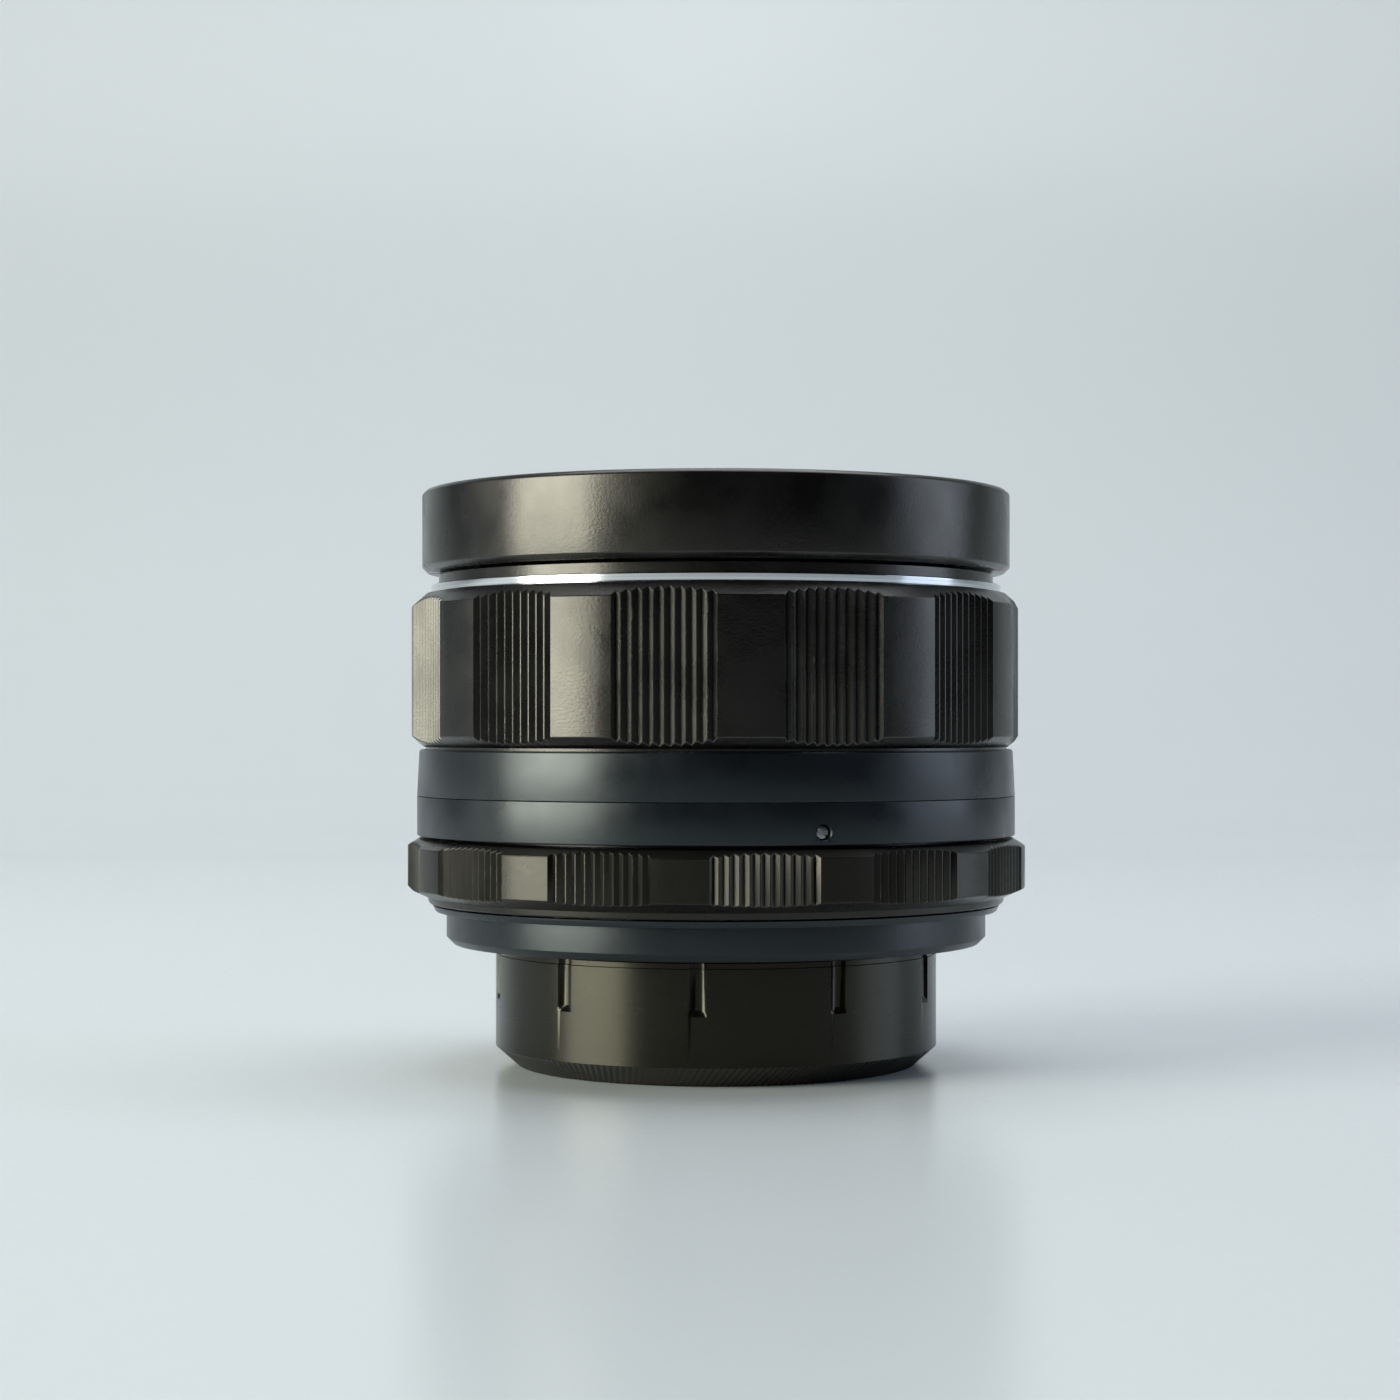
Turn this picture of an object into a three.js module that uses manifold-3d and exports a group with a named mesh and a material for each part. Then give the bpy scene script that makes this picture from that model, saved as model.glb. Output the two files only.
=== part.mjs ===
// Manual focus camera lens with a 42 mm screw mount, standing front up on its screw-in rear cap.
// Millimetres. +Z is the optical axis towards the front glass, and z = 0 is the cap's underside.
// Angles are degrees about +Z, counted from +X.
import * as THREE from 'three';
import { mergeVertices } from 'three/addons/utils/BufferGeometryUtils.js';
import Module from 'manifold-3d';

const wasm = await Module();
wasm.setup();

// ---------------------------------------------------------------- driving dimensions

const OUTER_SIDES = 36; // facets of the rings that show
const INNER_SIDES = 20; // facets of the rings inside
const GLASS_SIDES = 16; // facets of the lens elements
const SCREW_SIDES = 6;
const FACET_ANGLE = 18; // degrees of bend that one facet pair of a bent block takes
const GAP = 0.3; // between pieces that seat on each other
const JOINED = 0.05; // overlap of two shapes that become one piece
const PAST = 1; // how far a cutting shape runs beyond the face that it cuts
const WELD = 1e-4; // corners closer than this are one corner
const LATHE_START = -90; // degrees, where a turned body has its first column of corners
const COIL_STEPS = 7; // sections in each turn of a coil spring

const FLANGE_Z = 12.5; // rear face of the mount ring, where the lens seats on a camera
const FOCUS_TRAVEL = 8; // how far the lens block moves forward
const RING_TRAVEL = 42; // degrees of the aperture ring, seven stops
const BLADE_TRAVEL = 37.3; // degrees of each iris blade, from wide open to the smallest stop

const CAP = {
  footRadius: 20.5, radius: 22.76, chamferTop: 2, top: 12.2, topRadius: 22.5, topBreak: 0.4,
  boreRadius: 21.3, floorTop: 1.8, recessRadius: 16.5, recessDepth: 0.5,
  notches: 10, notchRadius: 0.9, notchDepth: 0.5, notchBottom: 6.9, firstNotch: -94.4,
};
const BASE = {
  footRadius: 27.1, radius: 27.82, bevelTop: 13.22, seatRadius: 23.2, lipZ: 15.85, lipRadius: 28.96,
  rimRadius: 29.27, top: 16.5, bore: 21.3, floorTop: 14.6, wallInner: 26.9,
  slotBottom: 14.7, slotAngle: 95, slotWidth: 22,
};
const THREAD = { bore: 19.3, radius: 20.95, end: 7.6, shelfRadius: 26.4, shelfInner: 16.2, shelfHeight: 1 };
const BAFFLE = { inner: 14.4, outer: 19, bottom: 8.4, top: 9.2 };
const BARREL = { inner: 23.6, outer: 24.8, flangeRadius: 26.5, bottom: 16.2, flangeTop: 17.7, top: 38.5 };
const MOUNT_SCREW = {
  circle: 25.4, angles: [30, 150, 270], head: 1.2, shaft: 0.65, headZ: 12.75, headTop: 13.3, tip: 17.3,
  headHole: 1.45, barrelHole: 0.85,
};
const APERTURE = {
  footRadius: 29.64, skirtTop: 17.28, radius: 31.87, bottom: 16.68, bevelTop: 18.29,
  bevelStart: 22.49, top: 23.25, topRadius: 30.67, bore: 27, shelfBore: 25.1, shelfZ: 18.2, shelfTop: 19.6,
  columns: 100, columnsPerGroup: 5, columnsPerLand: 3, groups: 12, firstGroup: 105.6, flatRadius: 31.3,
};
const INDEX = { bottom: 23.58, top: 27.5, radius: 30.84, edge: 0.15, bore: 25.1 };
const INDEX_SCREW = {
  angles: [-70.9, 49.1, 169.1], z: 24.8, hole: 0.72, radius: 0.6, inner: 27.5, outer: 30.45,
  slotWidth: 0.22, slotDepth: 0.44,
};
const CLICK = {
  circle: 28.3, angle: 225, ball: 0.75, ballZ: 24.1, hole: 1.1, holeTop: 27.1, coil: 0.65, wire: 0.15,
  play: 0.1, turns: 3, ballColumns: 8, ballRows: 5,
};
const SCALE = {
  bottom: 27.65, radius: 30.84, topRadius: 30.61, edgeZ: 32.2, top: 32.37, edgeRadius: 30.45,
  bore: 25.2, webTop: 29.6, wallInner: 28.5,
};
const GRIP = {
  footRadius: 30.16, bottom: 32.64, radius: 31.38, bevelTop: 33.7, bevelStart: 46.97, topRadius: 29.9,
  top: 48.29, bore: 28.95, shelfBore: 26.75, shelfTop: 34, recess: 29.75, recessZ: 47.4,
  columns: 120, columnsPerGroup: 6, columnsPerLand: 4, groups: 12, firstGroup: -99, flatRadius: 30.75,
};
const TRIM = { bottom: 47.7, outer: 29.6, shoulder: 48.45, top: 49.17, topRadius: 28.95, bore: 28.78 };
const HELICOID = {
  bore: 25.2, outer: 26.4, bottom: 29.9, flangeRadius: 28.2, flangeTop: 31.1, ledge: 38.5,
  upperBore: 25.9, top: 46,
};
const HELICOID_SCREW = {
  circle: 27.3, angles: [45, 165, 285], head: 0.6, shaft: 0.4, hole: 0.6, tip: 28.3, seat: 31.4, top: 31.9,
};
const RETAINER = { inner: 23.7, outer: 25.45, bottom: 38.8, top: 40.2 };
const KEY = { angles: [0, 180], inner: 22, outer: 24.6, width: 2.4, bottom: 34, top: 37 };

const SLEEVE = { inner: 26.75, outer: 28.59, bottom: 36, top: 50.17, flangeZ: 48.9, flangeInner: 24.9 };
const FILTER = {
  bottom: 50.47, chamfer: 0.55, radius: 30.31, edgeZ: 58.5, top: 58.8, topRadius: 29.9, mouthRadius: 29.3,
  threadRadius: 28.95, threadZ: 54.1, wall: 27.4, flangeInner: 24.9, flangeTop: 51.9,
};
const NAME = { inner: 21.5, outer: 28.6, innerZ: 52.3, outerZ: 54.9, thickness: 0.8 };
const CARRIER = { inner: 21.8, outer: 23.3, bottom: 24, top: 46.5, slotBottom: 25.5, slotTop: 37.5 };
const FRONT_CELL = {
  bottom: 34.9, outer: 21.5, lip: 13, lipTop: 35.3, boreA: 16.3, stepA: 40.1, boreB: 18.3, stepB: 47.95,
  boreC: 21.3, flangeZ: 46.8, flangeRadius: 24.6, top: 51.6,
};
const REAR_CELL = {
  bottom: 10.4, outer: 15.5, bore: 14.3, flangeZ: 29.2, flangeRadius: 17, top: 30.1, lip: 13, lipZ: 29.65,
};
// Plain rings that hold the elements: inner radius, outer radius, bottom, top.
const HOLDING_RINGS = {
  front_retaining_ring: [20, 21.1, 50.95, 52],
  middle_retaining_ring: [17, 18, 43, 44.2],
  rear_retaining_ring: [12, 14, 10.6, 11.4],
  rear_spacer_ring_front: [12.9, 14, 17.95, 19.5],
  rear_spacer_ring_rear: [12.3, 14, 12.95, 16.2],
};
// Seven elements from the front. A curve is positive where its middle stands further forward than its rim.
const ELEMENTS = [
  { radius: 21, front: 55, frontCurve: 48, rear: 49.4, rearCurve: 200 },
  { radius: 18, front: 49, frontCurve: 26, rear: 43.6, rearCurve: 52 },
  { radius: 16, front: 42.9, frontCurve: 60, rear: 41.2, rearCurve: 17.5, rearRim: 12.8 },
  { radius: 14, front: 24.4, frontCurve: -17, frontRim: 12, rear: 22.9, rearCurve: 60 },
  { radius: 14, front: 22.6, frontCurve: 60, rear: 16.9, rearCurve: -30 },
  { radius: 13.5, front: 16.5, frontCurve: -80, rear: 13.9, rearCurve: -30 },
  { radius: 13, front: 13.4, frontCurve: 90, rear: 10.9, rearCurve: -90 },
];

const LUG_ANGLE = 100; // where the aperture ring's fork and the iris drive pin stand, wide open
const PLATE = { inner: 12.8, outer: 21.5, bottom: 30.4, top: 31.1, window: 19.9 };
const DRIVE = {
  inner: 13.2, outer: 17.3, bottom: 31.4, top: 32, armRoot: 16.8, armRadius: 21.4, armWidth: 8,
};
const DRIVE_PIN = { circle: 20.6, radius: 0.5, bottom: 21.5, top: 31.9, hole: 0.75 };
const FORK = {
  inner: 20, outer: 26.8, prongOuter: 21.3, armBottom: 19.9, armTop: 20.9, prongTop: 29.9, width: 9,
  prongWidth: 2.5, slotMargin: 4,
};
const FORK_SCREW = { circle: 26.05, hole: 0.7, shaft: 0.45, head: 0.7, tip: 18.6, seat: 21.2, top: 21.7 };
const BLADE = {
  count: 6, firstPivot: 90, pivotRadius: 18.3, inner: 13.3, outer: 21.2, end: 116, headWidth: 7,
  bottom: 32.3, thickness: 0.12, rise: 1 / 60, flatAngle: 12, pin: 0.45, pinRadius: 16, pinAngle: 10,
  pinBottom: 31.5, pivotBottom: 30.6, rivetTop: 32.7, hole: 0.7,
  tipReach: 12, shoulder: 21, headDepth: 3, arcSegments: 6,
};
const STOP_PIN = {
  circle: 17.6, angle: 210, radius: 0.8, tip: 5.2, top: 16.5, collar: 1.3, collarZ: 9.5, collarTop: 10,
  hole: 1.1,
};
const STOP_SPRING = { bottom: 10.2, top: 14.6, coil: 1.15, wire: 0.15, turns: 4 };
const SWITCH = {
  angle: 90, stemInner: 26.75, stemWidth: 7, knobInner: 28.1, knobOuter: 29.9, knobWidth: 11,
  knobBottom: 13.7, top: 15.55, stemBottom: 14.95,
};

// ---------------------------------------------------------------- looks

const look = (color, roughness, metalness) => ({ color, roughness, metalness });
const ANODISED = look(0x17181a, 0.5, 0.6);
const SATIN_BLACK = look(0x101114, 0.42, 0.6);
const INNER_BLACK = look(0x1c1c1d, 0.7, 0.4);
const BLACK_PLASTIC = look(0x14140f, 0.35, 0);
const POLISHED = look(0xd9dde0, 0.12, 1);
const STEEL = look(0x9a9c9e, 0.35, 1);
const BRASS = look(0xb08a45, 0.4, 1);
const BLADE_STEEL = look(0x25262a, 0.4, 0.8);
const GLASS = look(0xcfd8e6, 0.04, 0);

// ---------------------------------------------------------------- shape helpers

const radians = THREE.MathUtils.degToRad;

/** Keeps positions only, welds them, drops empty faces and turns the faces outwards. */
function closed(source) {
  const bare = source.clone();
  bare.deleteAttribute('normal');
  bare.deleteAttribute('uv');
  const welded = mergeVertices(bare, WELD);
  const position = welded.getAttribute('position');
  const corners = welded.index.array;
  const [a, b, c] = [new THREE.Vector3(), new THREE.Vector3(), new THREE.Vector3()];
  const kept = [];
  let volume = 0;
  for (let first = 0; first < corners.length; first += 3) {
    const [p, q, r] = corners.slice(first, first + 3);
    if (p === q || q === r || r === p) continue;
    kept.push(p, q, r);
    a.fromBufferAttribute(position, p);
    b.fromBufferAttribute(position, q);
    c.fromBufferAttribute(position, r);
    volume += a.dot(b.cross(c));
  }
  if (volume < 0) kept.reverse();
  welded.setIndex(kept);
  return welded;
}

function toSolid(geometry) {
  const mesh = closed(geometry);
  const vertProperties = new Float32Array(mesh.getAttribute('position').array);
  const triVerts = new Uint32Array(mesh.index.array);
  return new wasm.Manifold(new wasm.Mesh({ numProp: 3, vertProperties, triVerts }));
}

function toGeometry(solid) {
  const mesh = solid.getMesh();
  const geometry = new THREE.BufferGeometry();
  geometry.setAttribute('position', new THREE.BufferAttribute(mesh.vertProperties, 3));
  geometry.setIndex(new THREE.BufferAttribute(mesh.triVerts, 1));
  return geometry;
}

const cut = (body, ...cutters) => toGeometry(
  cutters.reduce((solid, cutter) => solid.subtract(toSolid(cutter)), toSolid(body)),
);
const join = (body, ...others) => toGeometry(
  others.reduce((solid, other) => solid.add(toSolid(other)), toSolid(body)),
);

/** A body of revolution about Z from [radius, height] points. */
function turned(profile, sides) {
  const points = profile.map(([radius, height]) => new THREE.Vector2(radius, height));
  const onAxis = profile[0][0] === 0 && profile.at(-1)[0] === 0;
  if (!onAxis) points.push(points[0].clone());
  return closed(new THREE.LatheGeometry(points, sides).rotateX(Math.PI / 2));
}

const plainRing = (inner, outer, bottom, top, sides = INNER_SIDES) => turned(
  [[inner, bottom], [outer, bottom], [outer, top], [inner, top]],
  sides,
);

/** An upright rod or pin, stepped where more than one [radius, top] is given. */
function rod(bottom, steps, sides = SCREW_SIDES) {
  const profile = [[0, bottom]];
  let height = bottom;
  for (const [radius, top] of steps) {
    profile.push([radius, height], [radius, top]);
    height = top;
  }
  profile.push([0, height]);
  return turned(profile, sides);
}

const atPolar = (geometry, radius, angle) => geometry.clone().translate(
  radius * Math.cos(radians(angle)),
  radius * Math.sin(radians(angle)),
  0,
);

const extruded = (shape, bottom, top, curveSegments = 2) => new THREE.ExtrudeGeometry(
  shape,
  { depth: top - bottom, bevelEnabled: false, curveSegments },
).translate(0, 0, bottom);

/** A block bent round Z, centred on an angle. */
function sector(inner, outer, bottom, top, centre, width) {
  const start = radians(centre - width / 2);
  const end = radians(centre + width / 2);
  const shape = new THREE.Shape();
  shape.absarc(0, 0, outer, start, end, false);
  shape.absarc(0, 0, inner, end, start, true);
  shape.closePath();
  return extruded(shape, bottom, top, Math.max(2, Math.ceil(width / FACET_ANGLE)));
}

/** A straight block on a radius of the lens. */
function radialBlock(inner, outer, width, bottom, top, angle) {
  const block = new THREE.BoxGeometry(outer - inner, width, top - bottom);
  return block.translate((inner + outer) / 2, 0, (bottom + top) / 2).rotateZ(radians(angle));
}

/** A coil spring about Z: round wire swept along a helix. */
class Helix extends THREE.Curve {
  constructor(radius, bottom, top, turns) {
    super();
    Object.assign(this, { radius, bottom, top, turns });
  }

  getPoint(t, target = new THREE.Vector3()) {
    const angle = 2 * Math.PI * this.turns * t;
    const height = this.bottom + (this.top - this.bottom) * t;
    return target.set(this.radius * Math.cos(angle), this.radius * Math.sin(angle), height);
  }
}

function coilSpring({ coil, wire, bottom, top, turns }) {
  const section = new THREE.Shape();
  section.absarc(0, 0, wire, 0, 2 * Math.PI, false);
  const extrudePath = new Helix(coil, bottom + wire, top - wire, turns);
  return new THREE.ExtrudeGeometry(section, { extrudePath, steps: turns * COIL_STEPS, curveSegments: 2 });
}

/** A grip ring blank: groups of columns are flattened, and smooth lands stay between them. */
function flattened(geometry, ring) {
  const columnAngle = 360 / ring.columns;
  const period = (ring.columnsPerGroup + ring.columnsPerLand) * columnAngle;
  const halfGroup = (ring.columnsPerGroup * columnAngle) / 2;
  const turnedTo = geometry.clone().rotateZ(radians(ring.firstGroup - halfGroup - LATHE_START));
  const position = turnedTo.getAttribute('position');
  for (let vertex = 0; vertex < position.count; vertex += 1) {
    const [x, y] = [position.getX(vertex), position.getY(vertex)];
    const angle = THREE.MathUtils.radToDeg(Math.atan2(y, x));
    const fromFirst = THREE.MathUtils.euclideanModulo(angle - ring.firstGroup + halfGroup, 360);
    const fromCentre = (fromFirst % period) - halfGroup;
    const inGroup = fromFirst < ring.groups * period && Math.abs(fromCentre) < halfGroup;
    const flat = ring.flatRadius / Math.cos(radians(fromCentre));
    const radius = Math.hypot(x, y);
    if (inGroup && radius > flat) {
      position.setXY(vertex, (x * flat) / radius, (y * flat) / radius);
    }
  }
  return turnedTo;
}

// ---------------------------------------------------------------- the model

const lens = new THREE.Group();

function addPart(name, geometry, finish) {
  const flatShaded = closed(geometry).toNonIndexed();
  flatShaded.computeVertexNormals();
  const mesh = new THREE.Mesh(flatShaded, new THREE.MeshStandardMaterial(finish));
  mesh.name = name;
  lens.add(mesh);
}

// Rear cap: moulded cup with a chamfered foot, scooped grip notches and a shallow recess below.
{
  const cup = turned([
    [0, CAP.recessDepth], [CAP.recessRadius, CAP.recessDepth], [CAP.recessRadius, 0],
    [CAP.footRadius, 0], [CAP.radius, CAP.chamferTop], [CAP.radius, CAP.top - CAP.topBreak],
    [CAP.topRadius, CAP.top], [CAP.boreRadius, CAP.top], [CAP.boreRadius, CAP.floorTop], [0, CAP.floorTop],
  ], OUTER_SIDES);
  const notchCentre = CAP.radius + CAP.notchRadius - CAP.notchDepth;
  const notches = [];
  for (let count = 0; count < CAP.notches; count += 1) {
    const angle = CAP.firstNotch + (360 / CAP.notches) * count;
    notches.push(atPolar(rod(CAP.notchBottom, [[CAP.notchRadius, CAP.top + PAST]]), notchCentre, angle));
  }
  addPart('rear_cap', cut(cup, ...notches), BLACK_PLASTIC);
}

// Mount base ring: turned ring with the seat face, the screw holes and the switch's slot.
{
  const ring = turned([
    [BASE.bore, FLANGE_Z], [BASE.seatRadius, FLANGE_Z], [BASE.footRadius, FLANGE_Z],
    [BASE.radius, BASE.bevelTop], [BASE.radius, BASE.lipZ], [BASE.lipRadius, BASE.lipZ],
    [BASE.rimRadius, BASE.top], [BASE.wallInner, BASE.top], [BASE.wallInner, BASE.floorTop],
    [BASE.bore, BASE.floorTop],
  ], OUTER_SIDES);
  const headHole = [MOUNT_SCREW.headHole, MOUNT_SCREW.headTop + GAP];
  const shaftHole = [MOUNT_SCREW.shaft + GAP, BASE.floorTop + PAST];
  const holes = MOUNT_SCREW.angles.map(
    (angle) => atPolar(rod(FLANGE_Z - PAST, [headHole, shaftHole]), MOUNT_SCREW.circle, angle),
  );
  const slot = sector(
    BASE.wallInner - PAST, BASE.radius + PAST, BASE.slotBottom, BASE.lipZ, BASE.slotAngle, BASE.slotWidth,
  );
  addPart('mount_base_ring', cut(ring, ...holes, slot), SATIN_BLACK);
}

// Mount thread ring: the 42 mm male thread with an inner shelf that guides the stop-down pin.
const shelfBottom = BASE.floorTop + GAP;
const shelfTop = shelfBottom + THREAD.shelfHeight;
{
  const ring = turned([
    [THREAD.bore, THREAD.end], [THREAD.radius, THREAD.end], [THREAD.radius, shelfBottom],
    [THREAD.shelfRadius, shelfBottom], [THREAD.shelfRadius, shelfTop], [THREAD.shelfInner, shelfTop],
    [THREAD.shelfInner, shelfBottom], [THREAD.bore, shelfBottom],
  ], INNER_SIDES);
  const screwHoles = MOUNT_SCREW.angles.map((angle) => atPolar(
    rod(shelfBottom - PAST, [[MOUNT_SCREW.shaft + GAP, shelfTop + PAST]]),
    MOUNT_SCREW.circle,
    angle,
  ));
  const pinHole = atPolar(
    rod(shelfBottom - PAST, [[STOP_PIN.hole, shelfTop + PAST]]), STOP_PIN.circle, STOP_PIN.angle,
  );
  addPart('mount_thread_ring', cut(ring, ...screwHoles, pinHole), STEEL);
}

// Light baffle across the rear, with the hole that the stop-down pin passes through.
{
  const ring = plainRing(BAFFLE.inner, BAFFLE.outer, BAFFLE.bottom, BAFFLE.top);
  const hole = rod(BAFFLE.bottom - PAST, [[STOP_PIN.hole, BAFFLE.top + PAST]]);
  addPart('rear_light_baffle', cut(ring, atPolar(hole, STOP_PIN.circle, STOP_PIN.angle)), INNER_BLACK);
}

// Fixed barrel: the tube that everything turns round and slides in.
{
  const tube = turned([
    [BARREL.inner, BARREL.bottom], [BARREL.flangeRadius, BARREL.bottom],
    [BARREL.flangeRadius, BARREL.flangeTop], [BARREL.outer, BARREL.flangeTop],
    [BARREL.outer, BARREL.top], [BARREL.inner, BARREL.top],
  ], INNER_SIDES);
  const screwHoles = MOUNT_SCREW.angles.map((angle) => atPolar(
    rod(BARREL.bottom - PAST, [[MOUNT_SCREW.barrelHole, BARREL.flangeTop + PAST]]),
    MOUNT_SCREW.circle,
    angle,
  ));
  const keyHoles = KEY.angles.map((angle) => radialBlock(
    BARREL.inner - PAST, BARREL.outer + PAST, KEY.width + 2 * GAP, KEY.bottom - GAP, KEY.top + GAP, angle,
  ));
  const forkSlot = sector(
    BARREL.inner - PAST, BARREL.outer + PAST, FORK.armBottom - GAP, FORK.armTop + GAP,
    LUG_ANGLE + RING_TRAVEL / 2, RING_TRAVEL + FORK.width + FORK.slotMargin,
  );
  addPart('fixed_barrel', cut(tube, ...screwHoles, ...keyHoles, forkSlot), STEEL);
}

// Index ring: fixed outer ring with three radial set screws and the click ball's pocket.
{
  const { bottom, top, radius, edge, bore } = INDEX;
  const ring = turned([
    [bore, bottom], [radius - edge, bottom], [radius, bottom + edge], [radius, top - edge],
    [radius - edge, top], [bore, top],
  ], OUTER_SIDES);
  const sideways = (geometry, angle) => geometry.clone()
    .rotateY(Math.PI / 2)
    .translate(0, 0, INDEX_SCREW.z)
    .rotateZ(radians(angle));
  const screwHole = rod(bore - PAST, [[INDEX_SCREW.hole, radius + PAST]]);
  const pocket = atPolar(rod(bottom - PAST, [[CLICK.hole, CLICK.holeTop]]), CLICK.circle, CLICK.angle);
  const holes = INDEX_SCREW.angles.map((angle) => sideways(screwHole, angle));
  addPart('index_ring', cut(ring, ...holes, pocket), SATIN_BLACK);

  const { slotWidth, slotDepth, hole } = INDEX_SCREW;
  const slot = new THREE.BoxGeometry(2 * slotDepth, slotWidth, 2 * hole)
    .rotateY(Math.PI / 2)
    .translate(0, 0, INDEX_SCREW.outer);
  const screw = cut(rod(INDEX_SCREW.inner, [[INDEX_SCREW.radius, INDEX_SCREW.outer]]), slot);
  INDEX_SCREW.angles.forEach((angle, count) => {
    addPart(`index_ring_set_screw_${count + 1}`, sideways(screw, angle), STEEL);
  });
}

// Screws that hold the mount ring, the thread ring and the fixed barrel together.
MOUNT_SCREW.angles.forEach((angle, count) => {
  const screw = rod(MOUNT_SCREW.headZ, [
    [MOUNT_SCREW.head, MOUNT_SCREW.headTop], [MOUNT_SCREW.shaft, MOUNT_SCREW.tip],
  ]);
  addPart(`mount_screw_${count + 1}`, atPolar(screw, MOUNT_SCREW.circle, angle), STEEL);
});

// Two keys that keep the lens block from turning.
KEY.angles.forEach((angle, count) => {
  const key = radialBlock(KEY.inner, KEY.outer, KEY.width, KEY.bottom, KEY.top, angle);
  addPart(`guide_key_${'ab'[count]}`, key, BRASS);
});

// Click ball and its spring, which find the stops of the aperture ring.
{
  const ball = new THREE.SphereGeometry(CLICK.ball, CLICK.ballColumns, CLICK.ballRows)
    .translate(0, 0, CLICK.ballZ);
  addPart('aperture_click_ball', atPolar(ball, CLICK.circle, CLICK.angle), STEEL);
  const spring = coilSpring({
    coil: CLICK.coil,
    wire: CLICK.wire,
    bottom: CLICK.ballZ + CLICK.ball + CLICK.play,
    top: CLICK.holeTop - CLICK.play,
    turns: CLICK.turns,
  });
  addPart('aperture_click_spring', atPolar(spring, CLICK.circle, CLICK.angle), STEEL);
}

// Ring on the end of the fixed barrel that holds the focus helicoid down.
addPart(
  'focus_retaining_ring',
  plainRing(RETAINER.inner, RETAINER.outer, RETAINER.bottom, RETAINER.top),
  BRASS,
);

// Aperture ring: bevelled grip ring with twelve flats, riding on the fixed barrel by an inner shelf.
{
  const { bottom, top } = APERTURE;
  const blank = turned([
    [0, bottom], [APERTURE.footRadius, bottom], [APERTURE.footRadius, APERTURE.skirtTop],
    [APERTURE.radius, APERTURE.bevelTop], [APERTURE.radius, APERTURE.bevelStart],
    [APERTURE.topRadius, top], [0, top],
  ], APERTURE.columns);
  const bore = turned([
    [0, bottom - PAST], [APERTURE.bore, bottom - PAST], [APERTURE.bore, APERTURE.shelfZ],
    [APERTURE.shelfBore, APERTURE.shelfZ], [APERTURE.shelfBore, APERTURE.shelfTop],
    [APERTURE.bore, APERTURE.shelfTop], [APERTURE.bore, top + PAST], [0, top + PAST],
  ], OUTER_SIDES);
  const screwHole = rod(FORK_SCREW.tip - GAP, [[FORK_SCREW.hole, APERTURE.shelfTop + PAST]]);
  const ring = cut(flattened(blank, APERTURE), bore, atPolar(screwHole, FORK_SCREW.circle, LUG_ANGLE));
  addPart('aperture_ring', ring, ANODISED);
}

// Fork: passes through the fixed barrel and holds the iris drive pin between two long prongs.
{
  const arm = sector(FORK.inner, FORK.outer, FORK.armBottom, FORK.armTop, LUG_ANGLE, FORK.width);
  const prongTurn = (FORK.width - FORK.prongWidth) / 2;
  const prongs = [-prongTurn, prongTurn].map((turn) => sector(
    FORK.inner, FORK.prongOuter, FORK.armTop - JOINED, FORK.prongTop, LUG_ANGLE + turn, FORK.prongWidth,
  ));
  const hole = rod(FORK.armBottom - PAST, [[FORK_SCREW.hole, FORK.armTop + PAST]]);
  const fork = cut(join(arm, ...prongs), atPolar(hole, FORK_SCREW.circle, LUG_ANGLE));
  addPart('aperture_fork', fork, BRASS);
  const screw = rod(FORK_SCREW.tip, [[FORK_SCREW.shaft, FORK_SCREW.seat], [FORK_SCREW.head, FORK_SCREW.top]]);
  addPart('aperture_fork_screw', atPolar(screw, FORK_SCREW.circle, LUG_ANGLE), STEEL);
}

// Distance scale ring: lower part of the focus ring, with an inner web over the index ring.
{
  const ring = turned([
    [SCALE.bore, SCALE.bottom], [SCALE.radius, SCALE.bottom], [SCALE.topRadius, SCALE.edgeZ],
    [SCALE.edgeRadius, SCALE.top], [SCALE.wallInner, SCALE.top], [SCALE.wallInner, SCALE.webTop],
    [SCALE.bore, SCALE.webTop],
  ], OUTER_SIDES);
  const holes = HELICOID_SCREW.angles.map((angle) => atPolar(
    rod(HELICOID_SCREW.tip - GAP, [[HELICOID_SCREW.hole, SCALE.webTop + PAST]]),
    HELICOID_SCREW.circle,
    angle,
  ));
  addPart('distance_scale_ring', cut(ring, ...holes), SATIN_BLACK);
}

// Focus grip ring: tall bevelled ring with twelve flats and a recess for the trim ring.
{
  const { bottom, top } = GRIP;
  const blank = turned([
    [0, bottom], [GRIP.footRadius, bottom], [GRIP.radius, GRIP.bevelTop],
    [GRIP.radius, GRIP.bevelStart], [GRIP.topRadius, top], [0, top],
  ], GRIP.columns);
  const bore = turned([
    [0, bottom - PAST], [GRIP.shelfBore, bottom - PAST], [GRIP.shelfBore, GRIP.shelfTop],
    [GRIP.bore, GRIP.shelfTop], [GRIP.bore, GRIP.recessZ], [GRIP.recess, GRIP.recessZ],
    [GRIP.recess, top + PAST], [0, top + PAST],
  ], OUTER_SIDES);
  addPart('focus_grip_ring', cut(flattened(blank, GRIP), bore), ANODISED);
}

// Polished ring pressed into the top of the grip ring.
addPart('silver_trim_ring', turned([
  [TRIM.bore, TRIM.bottom], [TRIM.outer, TRIM.bottom], [TRIM.outer, TRIM.shoulder],
  [TRIM.topRadius, TRIM.top], [TRIM.bore, TRIM.top],
], OUTER_SIDES), POLISHED);

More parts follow.
